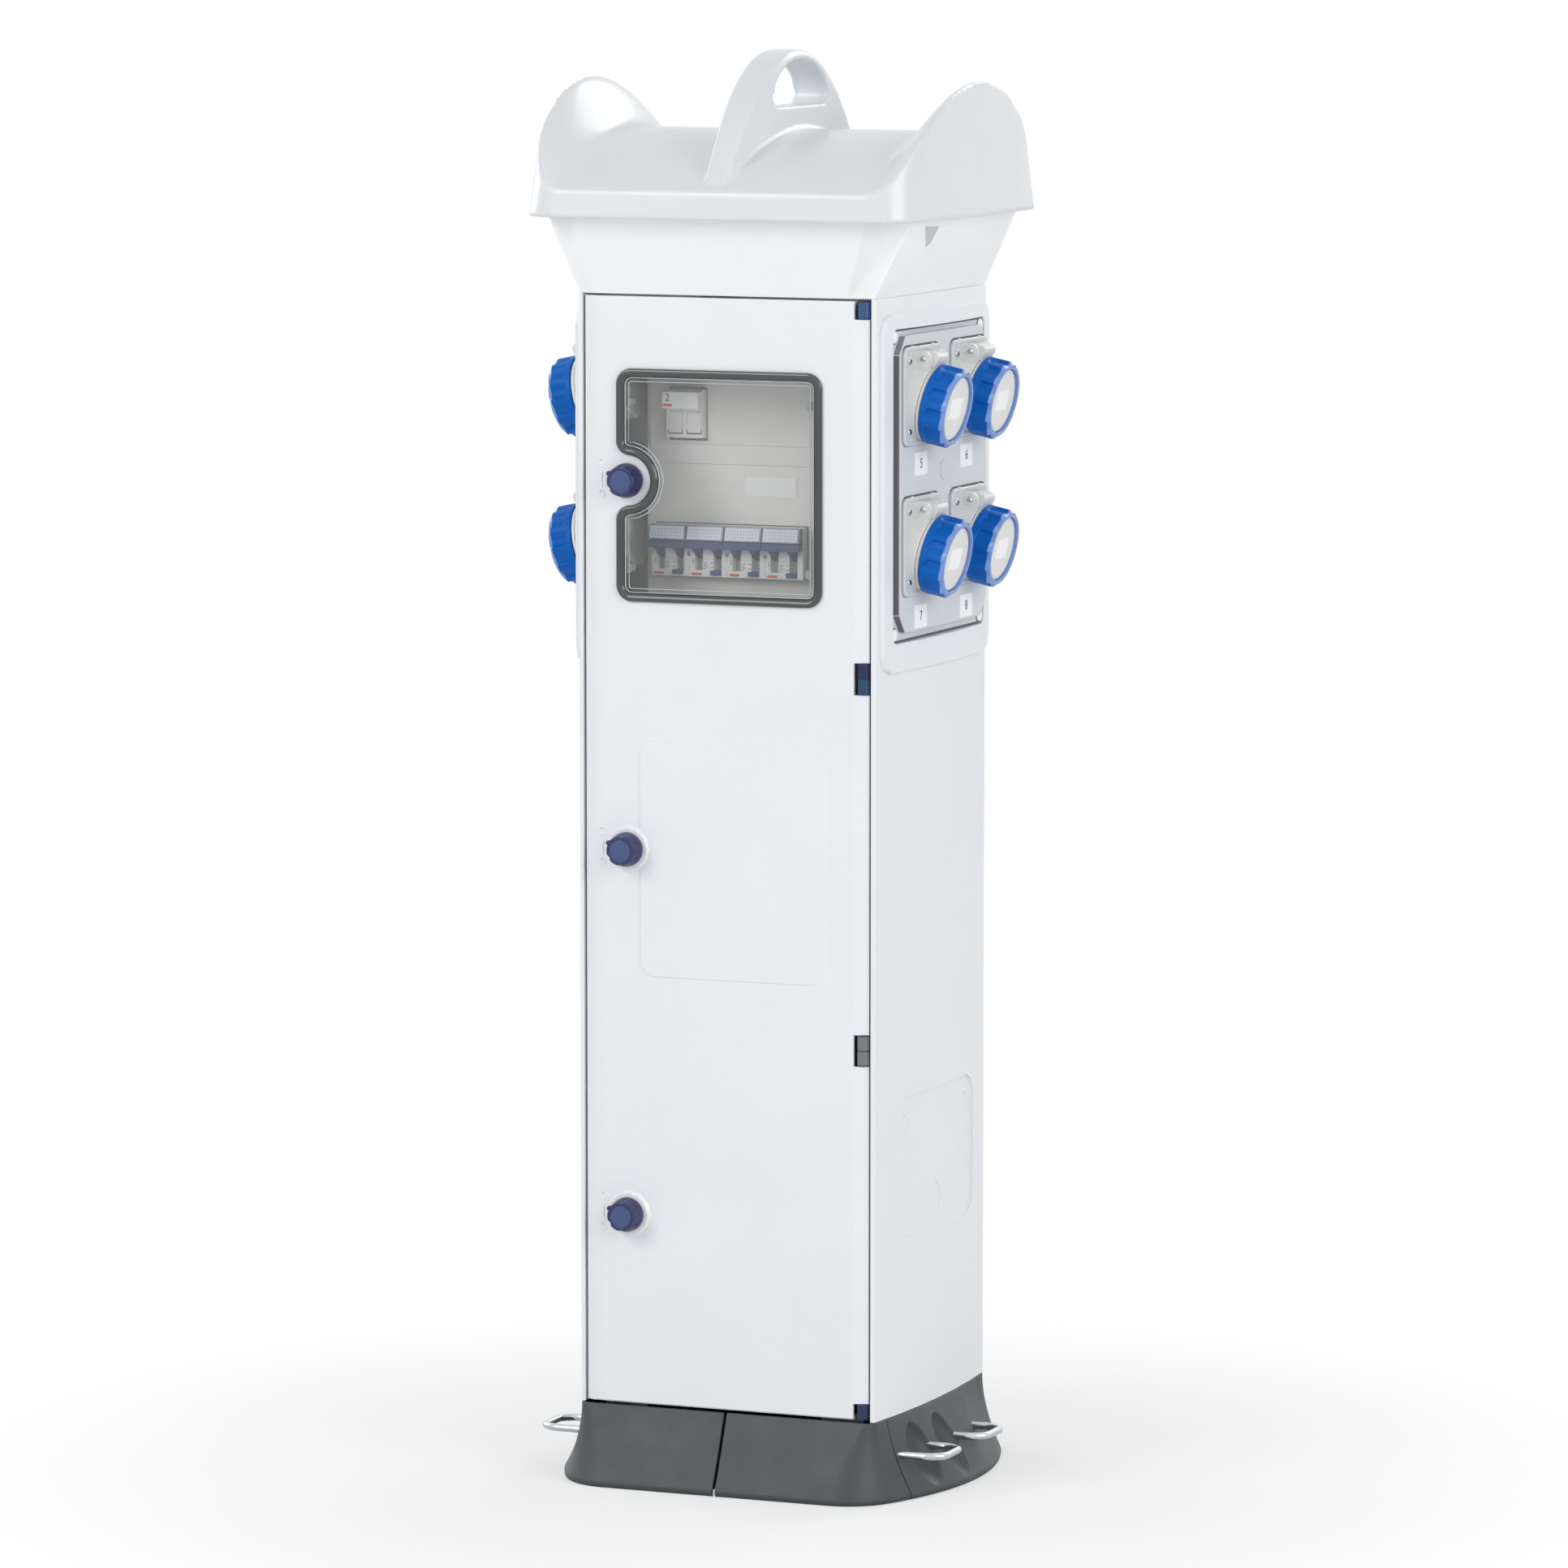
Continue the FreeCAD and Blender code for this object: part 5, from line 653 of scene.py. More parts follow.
def make_locks():
    places = [(side, level) for side in (FRONT, REAR) for level in LOCK_LEVELS]
    for number, (side, level) in enumerate(places, 1):
        face = DOOR_FACE + (0 if level == LOCK_LEVELS[0] else LOCK_BOSS)
        sunk = face + KNOB_BACK + KNOB_LONG * KNOB_SINK
        rows = ((sunk - 0.2, 9.5), (sunk + 0.15, 9.5), (sunk + 0.3, 9.2), (sunk + 0.3, 1.0))
        disc = Shape().loft(FRONT.discs(0, 0, rows, 64))
        body = "lock_%d" % number

        def place(spot, side=side, level=level):
            return side(LOCK_ACROSS + spot.x, level + spot.z, -spot.y)

        knob_shape(face).moved(place).piece("knob_%d" % number, "navy_plastic", body, 0.25, (body,))
        disc.moved(place).piece("knob_disc_%d" % number, "knob_face_blue", body)


# Tie loops

LOOP_CORNERS = ((122, -25), (178.8, -25), (190, -17), (190, 17), (178.8, 25), (122, 25))
LOOP_ROD, LOOP_BEND, LOOP_LEVEL, LOOP_PLACES = 3.25, 5.5, 38, (-77, 23)


def loop_line():
    """Centre line of one loop with rounded bends."""
    spots = [Vector((x, y, 0)) for x, y in LOOP_CORNERS]
    line = [spots[0]]
    for before, corner, after in zip(spots, spots[1:], spots[2:]):
        start = corner + (before - corner).normalized() * LOOP_BEND
        end = corner + (after - corner).normalized() * LOOP_BEND
        for step in range(7):
            t = step / 6
            line.append(start * (1 - t) ** 2 + corner * (2 * t * (1 - t)) + end * t ** 2)
    return line + [spots[-1]]


def make_loops():
    line = loop_line()
    rings = []
    for number, spot in enumerate(line):
        before, after = line[max(number - 1, 0)], line[min(number + 1, len(line) - 1)]
        across = UP.cross((after - before).normalized()).normalized()
        rings.append(disc_ring(spot, LOOP_ROD, across, UP, 20))
    loop = Shape().loft(rings)
    shape = Shape()
    for sign in (1, -1):
        for along in LOOP_PLACES:
            shape.add(loop.moved(lambda p: Vector((p.x * sign, p.y * sign + along, p.z + LOOP_LEVEL))))
    shape.piece("tie_loops_rod", "chrome", hides=("tie_loops",))


# Outlines with bulging sides, for the plinth and the cap

def bulge_parts(side, front, bulge, corner):
    """Sweep and middle of a bulging side, and the centre of its round corner."""
    sweep = (front ** 2 + bulge ** 2) / (2 * bulge)
    middle = side - sweep
    corner_y = front - corner
    corner_x = middle + math.sqrt((sweep - corner) ** 2 - corner_y ** 2)
    return sweep, middle, corner_x, corner_y


def bulged_outline(side, front, bulge, corner, corner_steps, side_steps, front_steps):
    """Plan outline with straight fronts, bulging sides and round corners."""
    sweep, middle, corner_x, corner_y = bulge_parts(side, front, bulge, corner)
    lean = math.atan2(corner_y, corner_x - middle)
    half = arc((middle, 0), sweep, -lean, lean, side_steps)[:-1]
    half += arc((corner_x, corner_y), corner, lean, math.pi / 2, corner_steps)
    half += [(corner_x * (1 - 2 * step / front_steps), front) for step in range(1, front_steps)]
    other = arc((corner_x, -corner_y), corner, -math.pi / 2, -lean, corner_steps)[:-1]
    spots = other + half
    return spots + [(-x, -y) for x, y in spots]


# Plinth covers

PLINTH_TOP, PLINTH_WIDE, PLINTH_WALL = 69.5, 5.0, 3.5
PLINTH_SIZES = ((146.5, 185), (134, 162), (8, 48), (9, 54))
SIDE_HALF, CORNER_START, FRONT_SEAM = 108.0, 109.0, 1.5
SCALLOPS, SCALLOP_LEVEL, SCALLOP_HALF, SCALLOP_DEEP = (-70.5, -21.5), 34.5, (18, 27), 15


def plinth_sizes(level, inset):
    """Half width, half depth, bulge and corner radius of the plinth at a level."""
    share = max(0.0, min(1.0, (PLINTH_TOP - level) / (PLINTH_TOP - PLINTH_WIDE)))
    pull = 4 * share * (1 - share) + inset
    side, front, bulge, corner = (a + (b - a) * share for a, b in PLINTH_SIZES)
    return side - pull, front - pull, bulge, max(corner - inset, 1.0)


def plinth_side(level, along, inset):
    """How far out the plinth's side is at a level and a place along it."""
    sizes = plinth_sizes(level, inset)
    sweep, middle, corner_x, corner_y = bulge_parts(*sizes)
    corner = sizes[3]
    edge = sweep * corner_y / (sweep - corner)
    if abs(along) <= edge:
        return middle + math.sqrt(sweep ** 2 - along ** 2)
    return corner_x + math.sqrt(max(corner ** 2 - (abs(along) - corner_y) ** 2, 0.0))


def plinth_levels():
    """Levels from the top edge down round the sole, with the inset of each."""
    rows = [(PLINTH_TOP, 0.9), (PLINTH_TOP - 0.4, 0.25), (PLINTH_TOP - 1.0, 0.0)]
    rows += [(PLINTH_TOP - 1 - (PLINTH_TOP - 1 - PLINTH_WIDE) * step / 44, 0.0) for step in range(1, 45)]
    for step in range(1, 7):
        angle = math.pi / 2 * step / 6
        rows.append((PLINTH_WIDE * (1 - math.sin(angle)), 3 * (1 - math.cos(angle))))
    return rows


def scallop_depth(along, level):
    """Depth of the two hollows in the side cover."""
    deepest = 0.0
    for centre in SCALLOPS:
        wide, high = SCALLOP_HALF
        share = 1 - ((along - centre) / wide) ** 2 - ((level - SCALLOP_LEVEL) / high) ** 2
        if share > 0:
            deepest = max(deepest, SCALLOP_DEEP * math.sqrt(share) - 3.9)
    return max(deepest, 0.0)


def side_cover():
    rows = []
    for level, inset in plinth_levels():
        row = []
        for step in range(151):
            along = -SIDE_HALF + 2 * SIDE_HALF * step / 150
            reach = plinth_side(level, along, inset) - scallop_depth(along, level)
            row.append(Vector((reach, along, level)))
        rows.append(row)
    return Shape().loft(rows, ends=False, cyclic=False)


def corner_cover():
    """The cover from the side seam round the corner to the middle of the front."""
    rows = []
    for level, inset in plinth_levels():
        sizes = plinth_sizes(level, inset)
        sweep, middle, corner_x, corner_y = bulge_parts(*sizes)
        front, corner = sizes[1], sizes[3]
        lean = math.asin(corner_y / (sweep - corner))
        edge = sweep * math.sin(lean)
        if edge > CORNER_START:
            first = lean
            alongs = [CORNER_START + (edge - CORNER_START) * step / 4 for step in range(5)]
            row = [Vector((middle + math.sqrt(sweep ** 2 - along ** 2), -along, level)) for along in alongs]
        else:
            first = math.asin(min((CORNER_START - corner_y) / corner, 1.0))
            row = [Vector((corner_x + corner * math.cos(first), -CORNER_START, level))] * 5
        for step in range(1, 15):
            angle = first + (math.pi / 2 - first) * step / 14
            x, y = corner_x + corner * math.cos(angle), -corner_y - corner * math.sin(angle)
            row.append(Vector((x, y, level)))
        for step in range(1, 13):
            row.append(Vector((corner_x + (FRONT_SEAM - corner_x) * step / 12, -front, level)))
        rows.append(row)
    return Shape().loft(rows, ends=False, cyclic=False)


def face_outward(obj):
    """Turns the faces of an open shell away from the upright axis."""
    work = bmesh.new()
    work.from_mesh(obj.data)
    score = 0.0
    for face in work.faces:
        middle = face.calc_center_median()
        score += face.normal.dot(Vector((middle.x, middle.y, 0))) * face.calc_area()
    if score < 0:
        bmesh.ops.reverse_faces(work, faces=work.faces)
    work.to_mesh(obj.data)
    work.free()


def make_plinth():
    side, corner = side_cover(), corner_cover()
    covers = {"plinth_side_right": side, "plinth_side_left": side.turned(-1, 1)}
    for number, signs in enumerate(((1, 1), (-1, 1), (1, -1), (-1, -1)), 1):
        covers["plinth_corner_%d" % number] = corner.turned(*signs)
    for name, shape in covers.items():
        cover = shape.piece(name, "plinth_plastic", hides=("plinth_covers",))
        face_outward(cover)
        wall = cover.modifiers.new("wall", "SOLIDIFY")
        wall.thickness = PLINTH_WALL * MM
        wall.offset = -1
        cover.modifiers.move(len(cover.modifiers) - 1, 0)


# Cap

CAP_RIM, CAP_FRONT, CAP_SKIRT, CAP_RIDGE, CAP_EAR = 1108, 166, 1131, 1181, 1225
CAP_LOW, CAP_HIGH, CAP_RECESS = (189, 166, 12, 35), (183, 154, 12, 72), (183, 160, 12, 29)
CAVITY = ((-150, -120), (150, -120), (150, 120), (-150, 120))
EAR_START, EAR_WIDE = 138, 46
CAP_ROWS = 40
HANDLE_REACH, HANDLE_FOOT, HANDLE_CREST, HANDLE_ROUND = 160, 1133, TOTAL - 0.1, 7
HOLE_LOW, HOLE_HIGH, HOLE_WIDE, HOLE_ROUND = 1201, 1241, 60, 9


def roof_height(back):
    rise = CAP_RIDGE - CAP_SKIRT
    radius = (CAP_FRONT ** 2 + rise ** 2) / (2 * rise)
    return CAP_RIDGE - radius + math.sqrt(radius ** 2 - min(abs(back), CAP_FRONT) ** 2)


def cap_height(across, back):
    share = smoothstep((abs(across) - EAR_START) / EAR_WIDE)
    ear = CAP_SKIRT + (CAP_EAR - CAP_SKIRT) * max(0.0, 1 - (back / CAP_FRONT) ** 2) ** 0.8
    roof = roof_height(back)
    return roof + (ear - roof) * share


def cap_shape():
    """The skirt, which leans from its low outline to its high one, and the roof with its two ears."""
    low, high = (bulged_outline(*sizes, 12, 24, 24) for sizes in (CAP_LOW, CAP_HIGH))

    def on_skirt(start, end, share):
        x, y = (a + (b - a) * share for a, b in zip(start, end))
        return Vector((x, y, CAP_RIM + (TOTAL - CAP_RIM) * share))

    crest = []
    for start, end in zip(low, high):
        bottom, top = 0.0, 1.0
        for _ in range(30):
            middle = (bottom + top) / 2
            x, y = (a + (b - a) * middle for a, b in zip(start, end))
            if CAP_RIM + (TOTAL - CAP_RIM) * middle < cap_height(x, y):
                bottom = middle
            else:
                top = middle
        crest.append(bottom)
    rings = [
        [on_skirt(start, end, rise * share) for start, end, rise in zip(low, high, crest)]
        for share in (0.0, 0.3, 0.6, 0.85, 1.0)
    ]
    edge = [
        tuple(a + (b - a) * rise for a, b in zip(start, end))
        for start, end, rise in zip(low, high, crest)
    ]
    for step in range(1, CAP_ROWS):
        k = 1 - step / CAP_ROWS
        rings.append([Vector((x * k, y * k, cap_height(x * k, y * k))) for x, y in edge])
    return Shape().loft(rings)


def handle_shape():
    """The carrying handle as a thick arch."""
    rings = []
    steps = 40
    for step in range(-steps, steps + 1):
        back = HANDLE_REACH * math.sin(math.pi / 2 * step / steps)
        share = (back / HANDLE_REACH) ** 2
        half = 17 - 6 * share
        crest = HANDLE_CREST - (HANDLE_CREST - HANDLE_FOOT) * share
        right = [Vector((half, back, CAP_RIM + 6))]
        for x, z in arc((0, 0), HANDLE_ROUND, 0, math.pi / 2, 6):
            right.append(Vector((half - HANDLE_ROUND + x, back, crest - HANDLE_ROUND + z)))
        rings.append(right + [Vector((-spot.x, spot.y, spot.z)) for spot in reversed(right)])
    return Shape().loft(rings)


def handle_hole():
    """A flat-bottomed arch through the handle."""
    base = HOLE_LOW + HOLE_ROUND
    half = arc((HOLE_WIDE - HOLE_ROUND, base), HOLE_ROUND, -math.pi / 2, 0, 8)[:-1]
    for step in range(25):
        angle = math.pi / 2 * step / 24
        half.append((HOLE_WIDE * math.cos(angle), base + (HOLE_HIGH - base) * math.sin(angle)))
    outline = half + [(-y, z) for y, z in reversed(half[:-1])]
    return Shape().outline([Vector((-40, y, z)) for y, z in outline], (80, 0, 0))


def make_cap():
    """Roof, ears and handle melted into one moulding with soft inner corners."""
    base = cap_shape().build("cap_base")
    recess = [Vector((x, y, CAP_RIM - 2)) for x, y in bulged_outline(*CAP_RECESS, 6, 8, 2)]
    cavity = [Vector((x, y, CAP_RIM - 1)) for x, y in CAVITY]
    tools = (
        (handle_shape().build("cap_handle_tool"), "UNION"),
        (handle_hole().build("cap_hole_tool"), "DIFFERENCE"),
        (Shape().outline(recess, (0, 0, 4)).build("cap_recess_tool"), "DIFFERENCE"),
        (Shape().outline(cavity, (0, 0, 15)).build("cap_cavity_tool"), "DIFFERENCE"),
    )
    for tool, operation in tools:
        step = base.modifiers.new(tool.name, "BOOLEAN")
        step.operation = operation
        step.object = tool
        step.solver = "EXACT"
    melt = base.modifiers.new("melt", "REMESH")
    melt.mode = "VOXEL"
    melt.voxel_size = 2.3 * MM
    ease = base.modifiers.new("ease", "SMOOTH")
    ease.factor = 0.5
    ease.iterations = 5
    bpy.context.view_layer.update()
    graph = bpy.context.evaluated_depsgraph_get()
    mesh = bpy.data.meshes.new_from_object(base.evaluated_get(graph))
    for tool, _ in tools:
        bpy.data.objects.remove(tool)
    bpy.data.objects.remove(base)
    mesh.name = "cap_moulding"
    for face in mesh.polygons:
        face.use_smooth = True
    dress(on_scene("cap_moulding", mesh), "cap_plastic", "pedestal", ("cap",))


# Door hinges, and painted shade on the door edges

HINGE_AXIS, SLEEVE_ROUND = 127, 6.03
SLEEVES = (
    (1025.4, 1039.2, "hinge_blue"), (716.5, 729.1, "hinge_navy"), (703.4, 716.1, "hinge_teal"),
    (394.7, 407.2, "hinge_grey"), (381.8, 394.3, "hinge_grey"), (72.4, 84.9, "hinge_navy"),
)
# Spans and sizes of the dark strips that paint shade into the door gap
EDGE_SHADE_SPANS = ((87, 380), (409, 701.5), (731, 1023.5))
EDGE_SHADE_IN, EDGE_SHADE_OUT, EDGE_SHADE_BACK, EDGE_SHADE_FRONT, EDGE_SHADE_SOFT = 132.4, 132.9, 119, 128.4, 0.15


def make_hinge_sleeves():
    """Glossy sleeves round the hinge pins, in the photograph's blues and grey."""
    for side in (FRONT, REAR):
        for number, (low, high, look) in enumerate(SLEEVES, 1):
            ends = [side(HINGE_AXIS, level, HINGE_AXIS) for level in (low, high)]
            sleeve = bar(Shape(), *ends, SLEEVE_ROUND, (0, 1, 0), 48, 0.5)
            sleeve.piece("hinge_sleeve_%s_%d" % (side.name, number), look)


def make_edge_painted_shades():
    """Painted shade: dark strips on each door's hinge edge, between the hinges, where the gap beside the side
    panel lies in shadow.
    """
    for side in (FRONT, REAR):
        shape = Shape()
        for low, high in EDGE_SHADE_SPANS:
            rings = []
            for level, draw in ((low, EDGE_SHADE_SOFT), (low + 0.3, 0), (high - 0.3, 0), (high, EDGE_SHADE_SOFT)):
                back, front, edge = EDGE_SHADE_BACK + draw, EDGE_SHADE_FRONT - draw, EDGE_SHADE_OUT - draw
                corners = ((EDGE_SHADE_IN, front), (edge, front), (edge, back), (EDGE_SHADE_IN, back))
                rings.append([side(across, level, out) for across, out in corners])
            shape.loft(rings)
        shape.piece("edge_painted_shade" + side.ending, "joint_dark", side.door)


# Neck fold, painted shade

FOLD_NORMAL = Vector((0.9, -0.065, -0.431))
FOLD_CORNERS = (
    (168.77, -94.37, 1102.78), (170.52, -64.25, 1101.85), (163.21, -67.93, 1087.16),
    (161.33, -74.19, 1084.17),
)


def make_neck_fold_painted_shades():
    """Painted shade: a darker triangle near two corners of the diffuser where a fold shows, with a strip of
    the diffuser's own white along its bright edge.
    """
    fold = [Vector(corner) for corner in FOLD_CORNERS]
    wide = Vector((0, -2.2, 0))
    edge = [fold[0] + wide, fold[0], fold[3], fold[3] + wide]
    for name, look, spots, rise in (
        ("neck_fold_painted_shades", "neck_fold_painted_shade", fold, 0.25), ("neck_fold_edges", "opal_plastic", edge, 0.6),
    ):
        solid = Shape().outline([spot - FOLD_NORMAL * 0.1 for spot in spots], FOLD_NORMAL * (rise + 0.1))
        solid.turned(1, 1).add(solid.turned(-1, -1)).piece(name, look)


# Windows

WINDOW = (-101, 91, 776, 978)
WINDOW_ROUND, BITE, BITE_BLEND, BITE_REACH = 14, 22, 12, 34
WINDOW_SCREWS = ((-92.2, 948.7), (78.1, 948.9), (-92.2, 804.5), (78.1, 804.3))
FRAME_ROWS = (
    (0, 134.7), (0, 135.5), (0.5, 136.7), (1.5, 137.4), (3.0, 137.6), (4.6, 137.3), (6.2, 136.3),
    (7.2, 135.0), (7.6, 133.8), (7.6, 131.6), (3.5, 131.6), (3.5, 134.7),
)
BEADS = ((7.7, 134.6), (11.0, 134.2))
BOSS_ROWS = ((0.2, 4.2), (1.5, 4.2), (1.5, 3.0), (3.0, 3.0), (3.0, 4.0), (10.0, 3.8))


def window_outline(inset):
    """Outline of the door window with its bite round the upper lock."""
    left, right, low, high = WINDOW
    flat = rounded_rectangle(
        left + inset, right - inset, low + inset, high - inset, max(WINDOW_ROUND - inset, 1.5), 8
    )
    bite, blend = BITE + inset, max(BITE_BLEND - inset, 0.8)
    lock_x, lock_z = LOCK_ACROSS, LOCK_LEVELS[0]
    blend_x = left + BITE_BLEND
    rise = math.sqrt(BITE_REACH ** 2 - (blend_x - lock_x) ** 2)
    slope = math.atan2(rise, blend_x - lock_x)
    flat += arc((blend_x, lock_z + rise), blend, math.pi, math.pi + slope, 8)
    flat += arc((lock_x, lock_z), bite, slope, -slope, 24)[1:-1]
    flat += arc((blend_x, lock_z - rise), blend, math.pi - slope, math.pi, 8)
    return flat


def make_windows():
    for side in (FRONT, REAR):

        def rings(rows, side=side):
            return [[side(x, z, out) for x, z in window_outline(inset)] for inset, out in rows]

        hides = (side.name + "_window",)
        border = Shape().loft(rings(FRAME_ROWS), round_trip=True)
        border.piece("window_frame" + side.ending, "window_frame_dark", side.door, hides=hides)
        # The pale beads on the dark frame are painted highlight along its rounded inner edge.
        beads = Shape()
        for inset, out in BEADS:
            far = inset + 0.75
            rows = ((inset, 133.4), (inset, out), (inset + 0.35, out + 0.3), (far, out), (far, 133.4))
            beads.loft(rings(rows), round_trip=True)
        beads.piece("window_beads" + side.ending, "window_bead", side.door)
        pane = Shape().loft(rings(((7.7, PANE_BACK), (7.7, 134.0))))
        pane.piece("window_pane" + side.ending, "smoke_window", side.door, hides=hides)
        shapes = defaultdict(Shape)
        for across, level in WINDOW_SCREWS:
            spot = side(across, level, PANE_BACK - 2.2)
            side.screw(shapes["window_screws"], shapes["window_screw_slots"], spot, 2.6, 1.2)
            rows = [(PANE_BACK - back, radius) for back, radius in BOSS_ROWS]
            shapes["window_bosses"].loft(side.discs(across, level, rows, 28))
        looks = {
            "window_screws": "steel", "window_screw_slots": "contact_black",
            "window_bosses": "window_boss_grey",
        }
        build_all(shapes, looks, side.ending, side.door)


# Devices behind the windows

BREAKERS, BREAKER_LEFT, BREAKER_WIDE, BREAKER_LEVEL, NOSE_FACE = 4, -92, 35.6, 817, 79
HOLDER_LOW, HOLDER_HIGH = (88.6, 9.8), (85.4, 22.3)
HOLDER_OUTLINE = ((NOSE_FACE - 0.2, 9.8), HOLDER_LOW, HOLDER_HIGH, (NOSE_FACE - 0.2, 22.3))
MARK_FACE = NOSE_FACE - 0.05
LINE_LENGTHS = (3.6, 2.8, 3.9, 2.4)
BREAKER_LOOKS = {
    "label_holders": "holder_blue_grey", "label_strips": "strip_pale_blue", "label_dots": "mark_blue",
    "breaker_marks": "mark_blue", "breaker_pills": "mark_orange", "breaker_steps": "socket_grey",
    "breaker_screws": "steel", "breaker_screw_slots": "contact_black",
}


def across_prism(shape, outline, left, right, side):
    """A prism across a device from an outline of outward and up above the breakers' level."""
    return shape.loft([[side(x, BREAKER_LEVEL + up, out) for out, up in outline] for x in (left, right)])


def leaning_patch(shape, left, right, low, high, lift, thick, side):
    """A thin patch on a label holder's leaning face, placed by shares of that face's height."""
    (out0, up0), (out1, up1) = HOLDER_LOW, HOLDER_HIGH
    outline = []
    for share, off in ((low, lift), (high, lift), (high, lift + thick), (low, lift + thick)):
        out, up = out0 + (out1 - out0) * share, up0 + (up1 - up0) * share
        outline.append((out + 0.9715 * off, up + 0.237 * off))
    return across_prism(shape, outline, left, right, side)


def breaker_front(side, shapes, column):
    """Label holder, marks, pill, steps and screw of one breaker."""
    left = BREAKER_LEFT + BREAKER_WIDE * column + 0.5
    right = left + BREAKER_WIDE - 1.0
    middle = (left + right) / 2
    level = BREAKER_LEVEL
    across_prism(shapes["label_holders"], HOLDER_OUTLINE, left, right, side)
    leaning_patch(shapes["label_strips"], left + 1.0, right - 1.6, 0.07, 0.93, 0.02, 0.12, side)
    for row in range(3):
        for dot in range(10):
            spot, share = left + 3.4 + dot * 2.9, 0.24 + 0.22 * row
            leaning_patch(shapes["label_dots"], spot, spot + 0.8, share, share + 0.06, 0.12, 0.06, side)
    marks = shapes["breaker_marks"]
    for row, long in enumerate(LINE_LENGTHS):
        start, low = middle - 4.2, level - 10.6 - row * 1.7
        side.plate(marks, (start, start + long, low, low + 0.6), 0.2, MARK_FACE, 0.12, 0.03)
    for x, z in ((left + 2.2, -8.6), (left + 2.2, -10.6), (middle + 2.6, -10.4), (middle + 2.6, -14.4)):
        side.plate(marks, (x, x + 1.7, level + z - 0.45, level + z + 0.45), 0.3, MARK_FACE, 0.12, 0.03)
    pill = (left + 1.6, left + 11.2, level - 21.4, level - 19.2)
    side.plate(shapes["breaker_pills"], pill, 1.0, MARK_FACE, 0.2, 0.05)
    for low, high in ((left, middle - 12.9), (middle - 4.9, middle + 4.9), (middle + 12.9, right)):
        side.plate(shapes["breaker_steps"], (low, high, level - 7.6, level - 7.0), 0.1, MARK_FACE, 0.2, 0.05)
    if column:
        spot = side(left - 0.5, level - 3.2, NOSE_FACE - 0.2)
        side.screw(shapes["breaker_screws"], shapes["breaker_screw_slots"], spot, 1.8, 0.8)


def make_breaker_fronts():
    for side in (FRONT, REAR):
        shapes = defaultdict(Shape)
        for column in range(BREAKERS):
            breaker_front(side, shapes, column)
        build_all(shapes, BREAKER_LOOKS, side.ending)


def digit(text, name, side, spot, size, body="pedestal"):
    """A plain number on a side, as a thin raised mesh."""
    curve = bpy.data.curves.new(name, "FONT")
    curve.body = text
    curve.size = size * MM
    curve.align_x = "CENTER"
    curve.align_y = "CENTER"
    curve.extrude = 0.08 * MM
    holder = on_scene(name + "_curve", curve)
    bpy.context.view_layer.update()
    graph = bpy.context.evaluated_depsgraph_get()
    mesh = bpy.data.meshes.new_from_object(holder.evaluated_get(graph))
    bpy.data.objects.remove(holder)
    turn = Matrix((side.aside, UP, side.out)).transposed().to_4x4()
    mesh.transform(Matrix.Translation(side(*spot) * MM) @ turn)
    mesh.materials.clear()
    mesh.materials.append(LOOKS["contact_black"])
    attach(on_scene(name, mesh), body)


def make_panel_furniture():
    """Bare rating plate and moulded boss of each inner cover."""
    for side in (FRONT, REAR):
        shapes = defaultdict(Shape)
        side.plate(shapes["rating_frame"], (-9.0, 42.0, 863.2, 883.6), 0.8, 68.95, 0.35, 0.15)
        side.plate(shapes["rating_plate"], (-6.8, 39.8, 865.4, 881.6), 0.8, 69.2, 0.35, 0.1)
        shapes["panel_boss"].loft(side.discs(-20.5, 874.4, ((68.9, 2.4), (69.6, 2.2), (69.9, 1.4)), 24))
        looks = {"rating_frame": "panel_white", "rating_plate": "paper_label", "panel_boss": "panel_white"}
        build_all(shapes, looks, side.ending)


def make_fuse_furniture():
    """Field round the fuse holder, and the labels, fronts and pill of its carrier."""
    field = FRONT.plate(Shape(), (-81, -46.5, 895.2, 908.2), 0.8, 69.75, 0.2, 0.05)
    field.piece("fuse_field", "breaker_white")
    shapes = defaultdict(Shape)
    for left, right in ((-77.6, -61.6), (-60.6, -44.2)):
        FRONT.plate(shapes["fuse_labels"], (left, right, 941.3, 954.8), 0.6, 88.9, 0.35, 0.1)
    for middle in (-69.8, -52.0):
        FRONT.plate(shapes["fuse_fronts"], (middle - 6.3, middle + 6.3, 919.2, 937.2), 0.6, 77.3, 1.3, 0.2)
        for left, right, high in ((-6.7, 6.7, 919.0), (-6.9, -6.4, 922.0), (6.4, 6.9, 922.0)):
            box = (middle + left, middle + right, 918.3, high)
            FRONT.plate(shapes["fuse_corners"], box, 0.1, 77.4, 1.0, 0.05)
    FRONT.plate(shapes["fuse_pill"], (-76.6, -68.2, 942.6, 944.8), 1.0, 89.2, 0.2, 0.05)
    looks = {
        "fuse_labels": "paper_label", "fuse_fronts": "breaker_white", "fuse_corners": "joint_dark",
        "fuse_pill": "mark_orange",
    }
    build_all(shapes, looks, "", "fuse_carrier")
    digit("2", "fuse_number", FRONT, (-72.6, 950, 89.35), 9, "fuse_carrier")


# Door fields and marks

MARK_BACK, MARK_HIGH = 133.9, 0.5
PADLOCK_ACROSS, PADLOCK_RISE = -115.5, 13.5


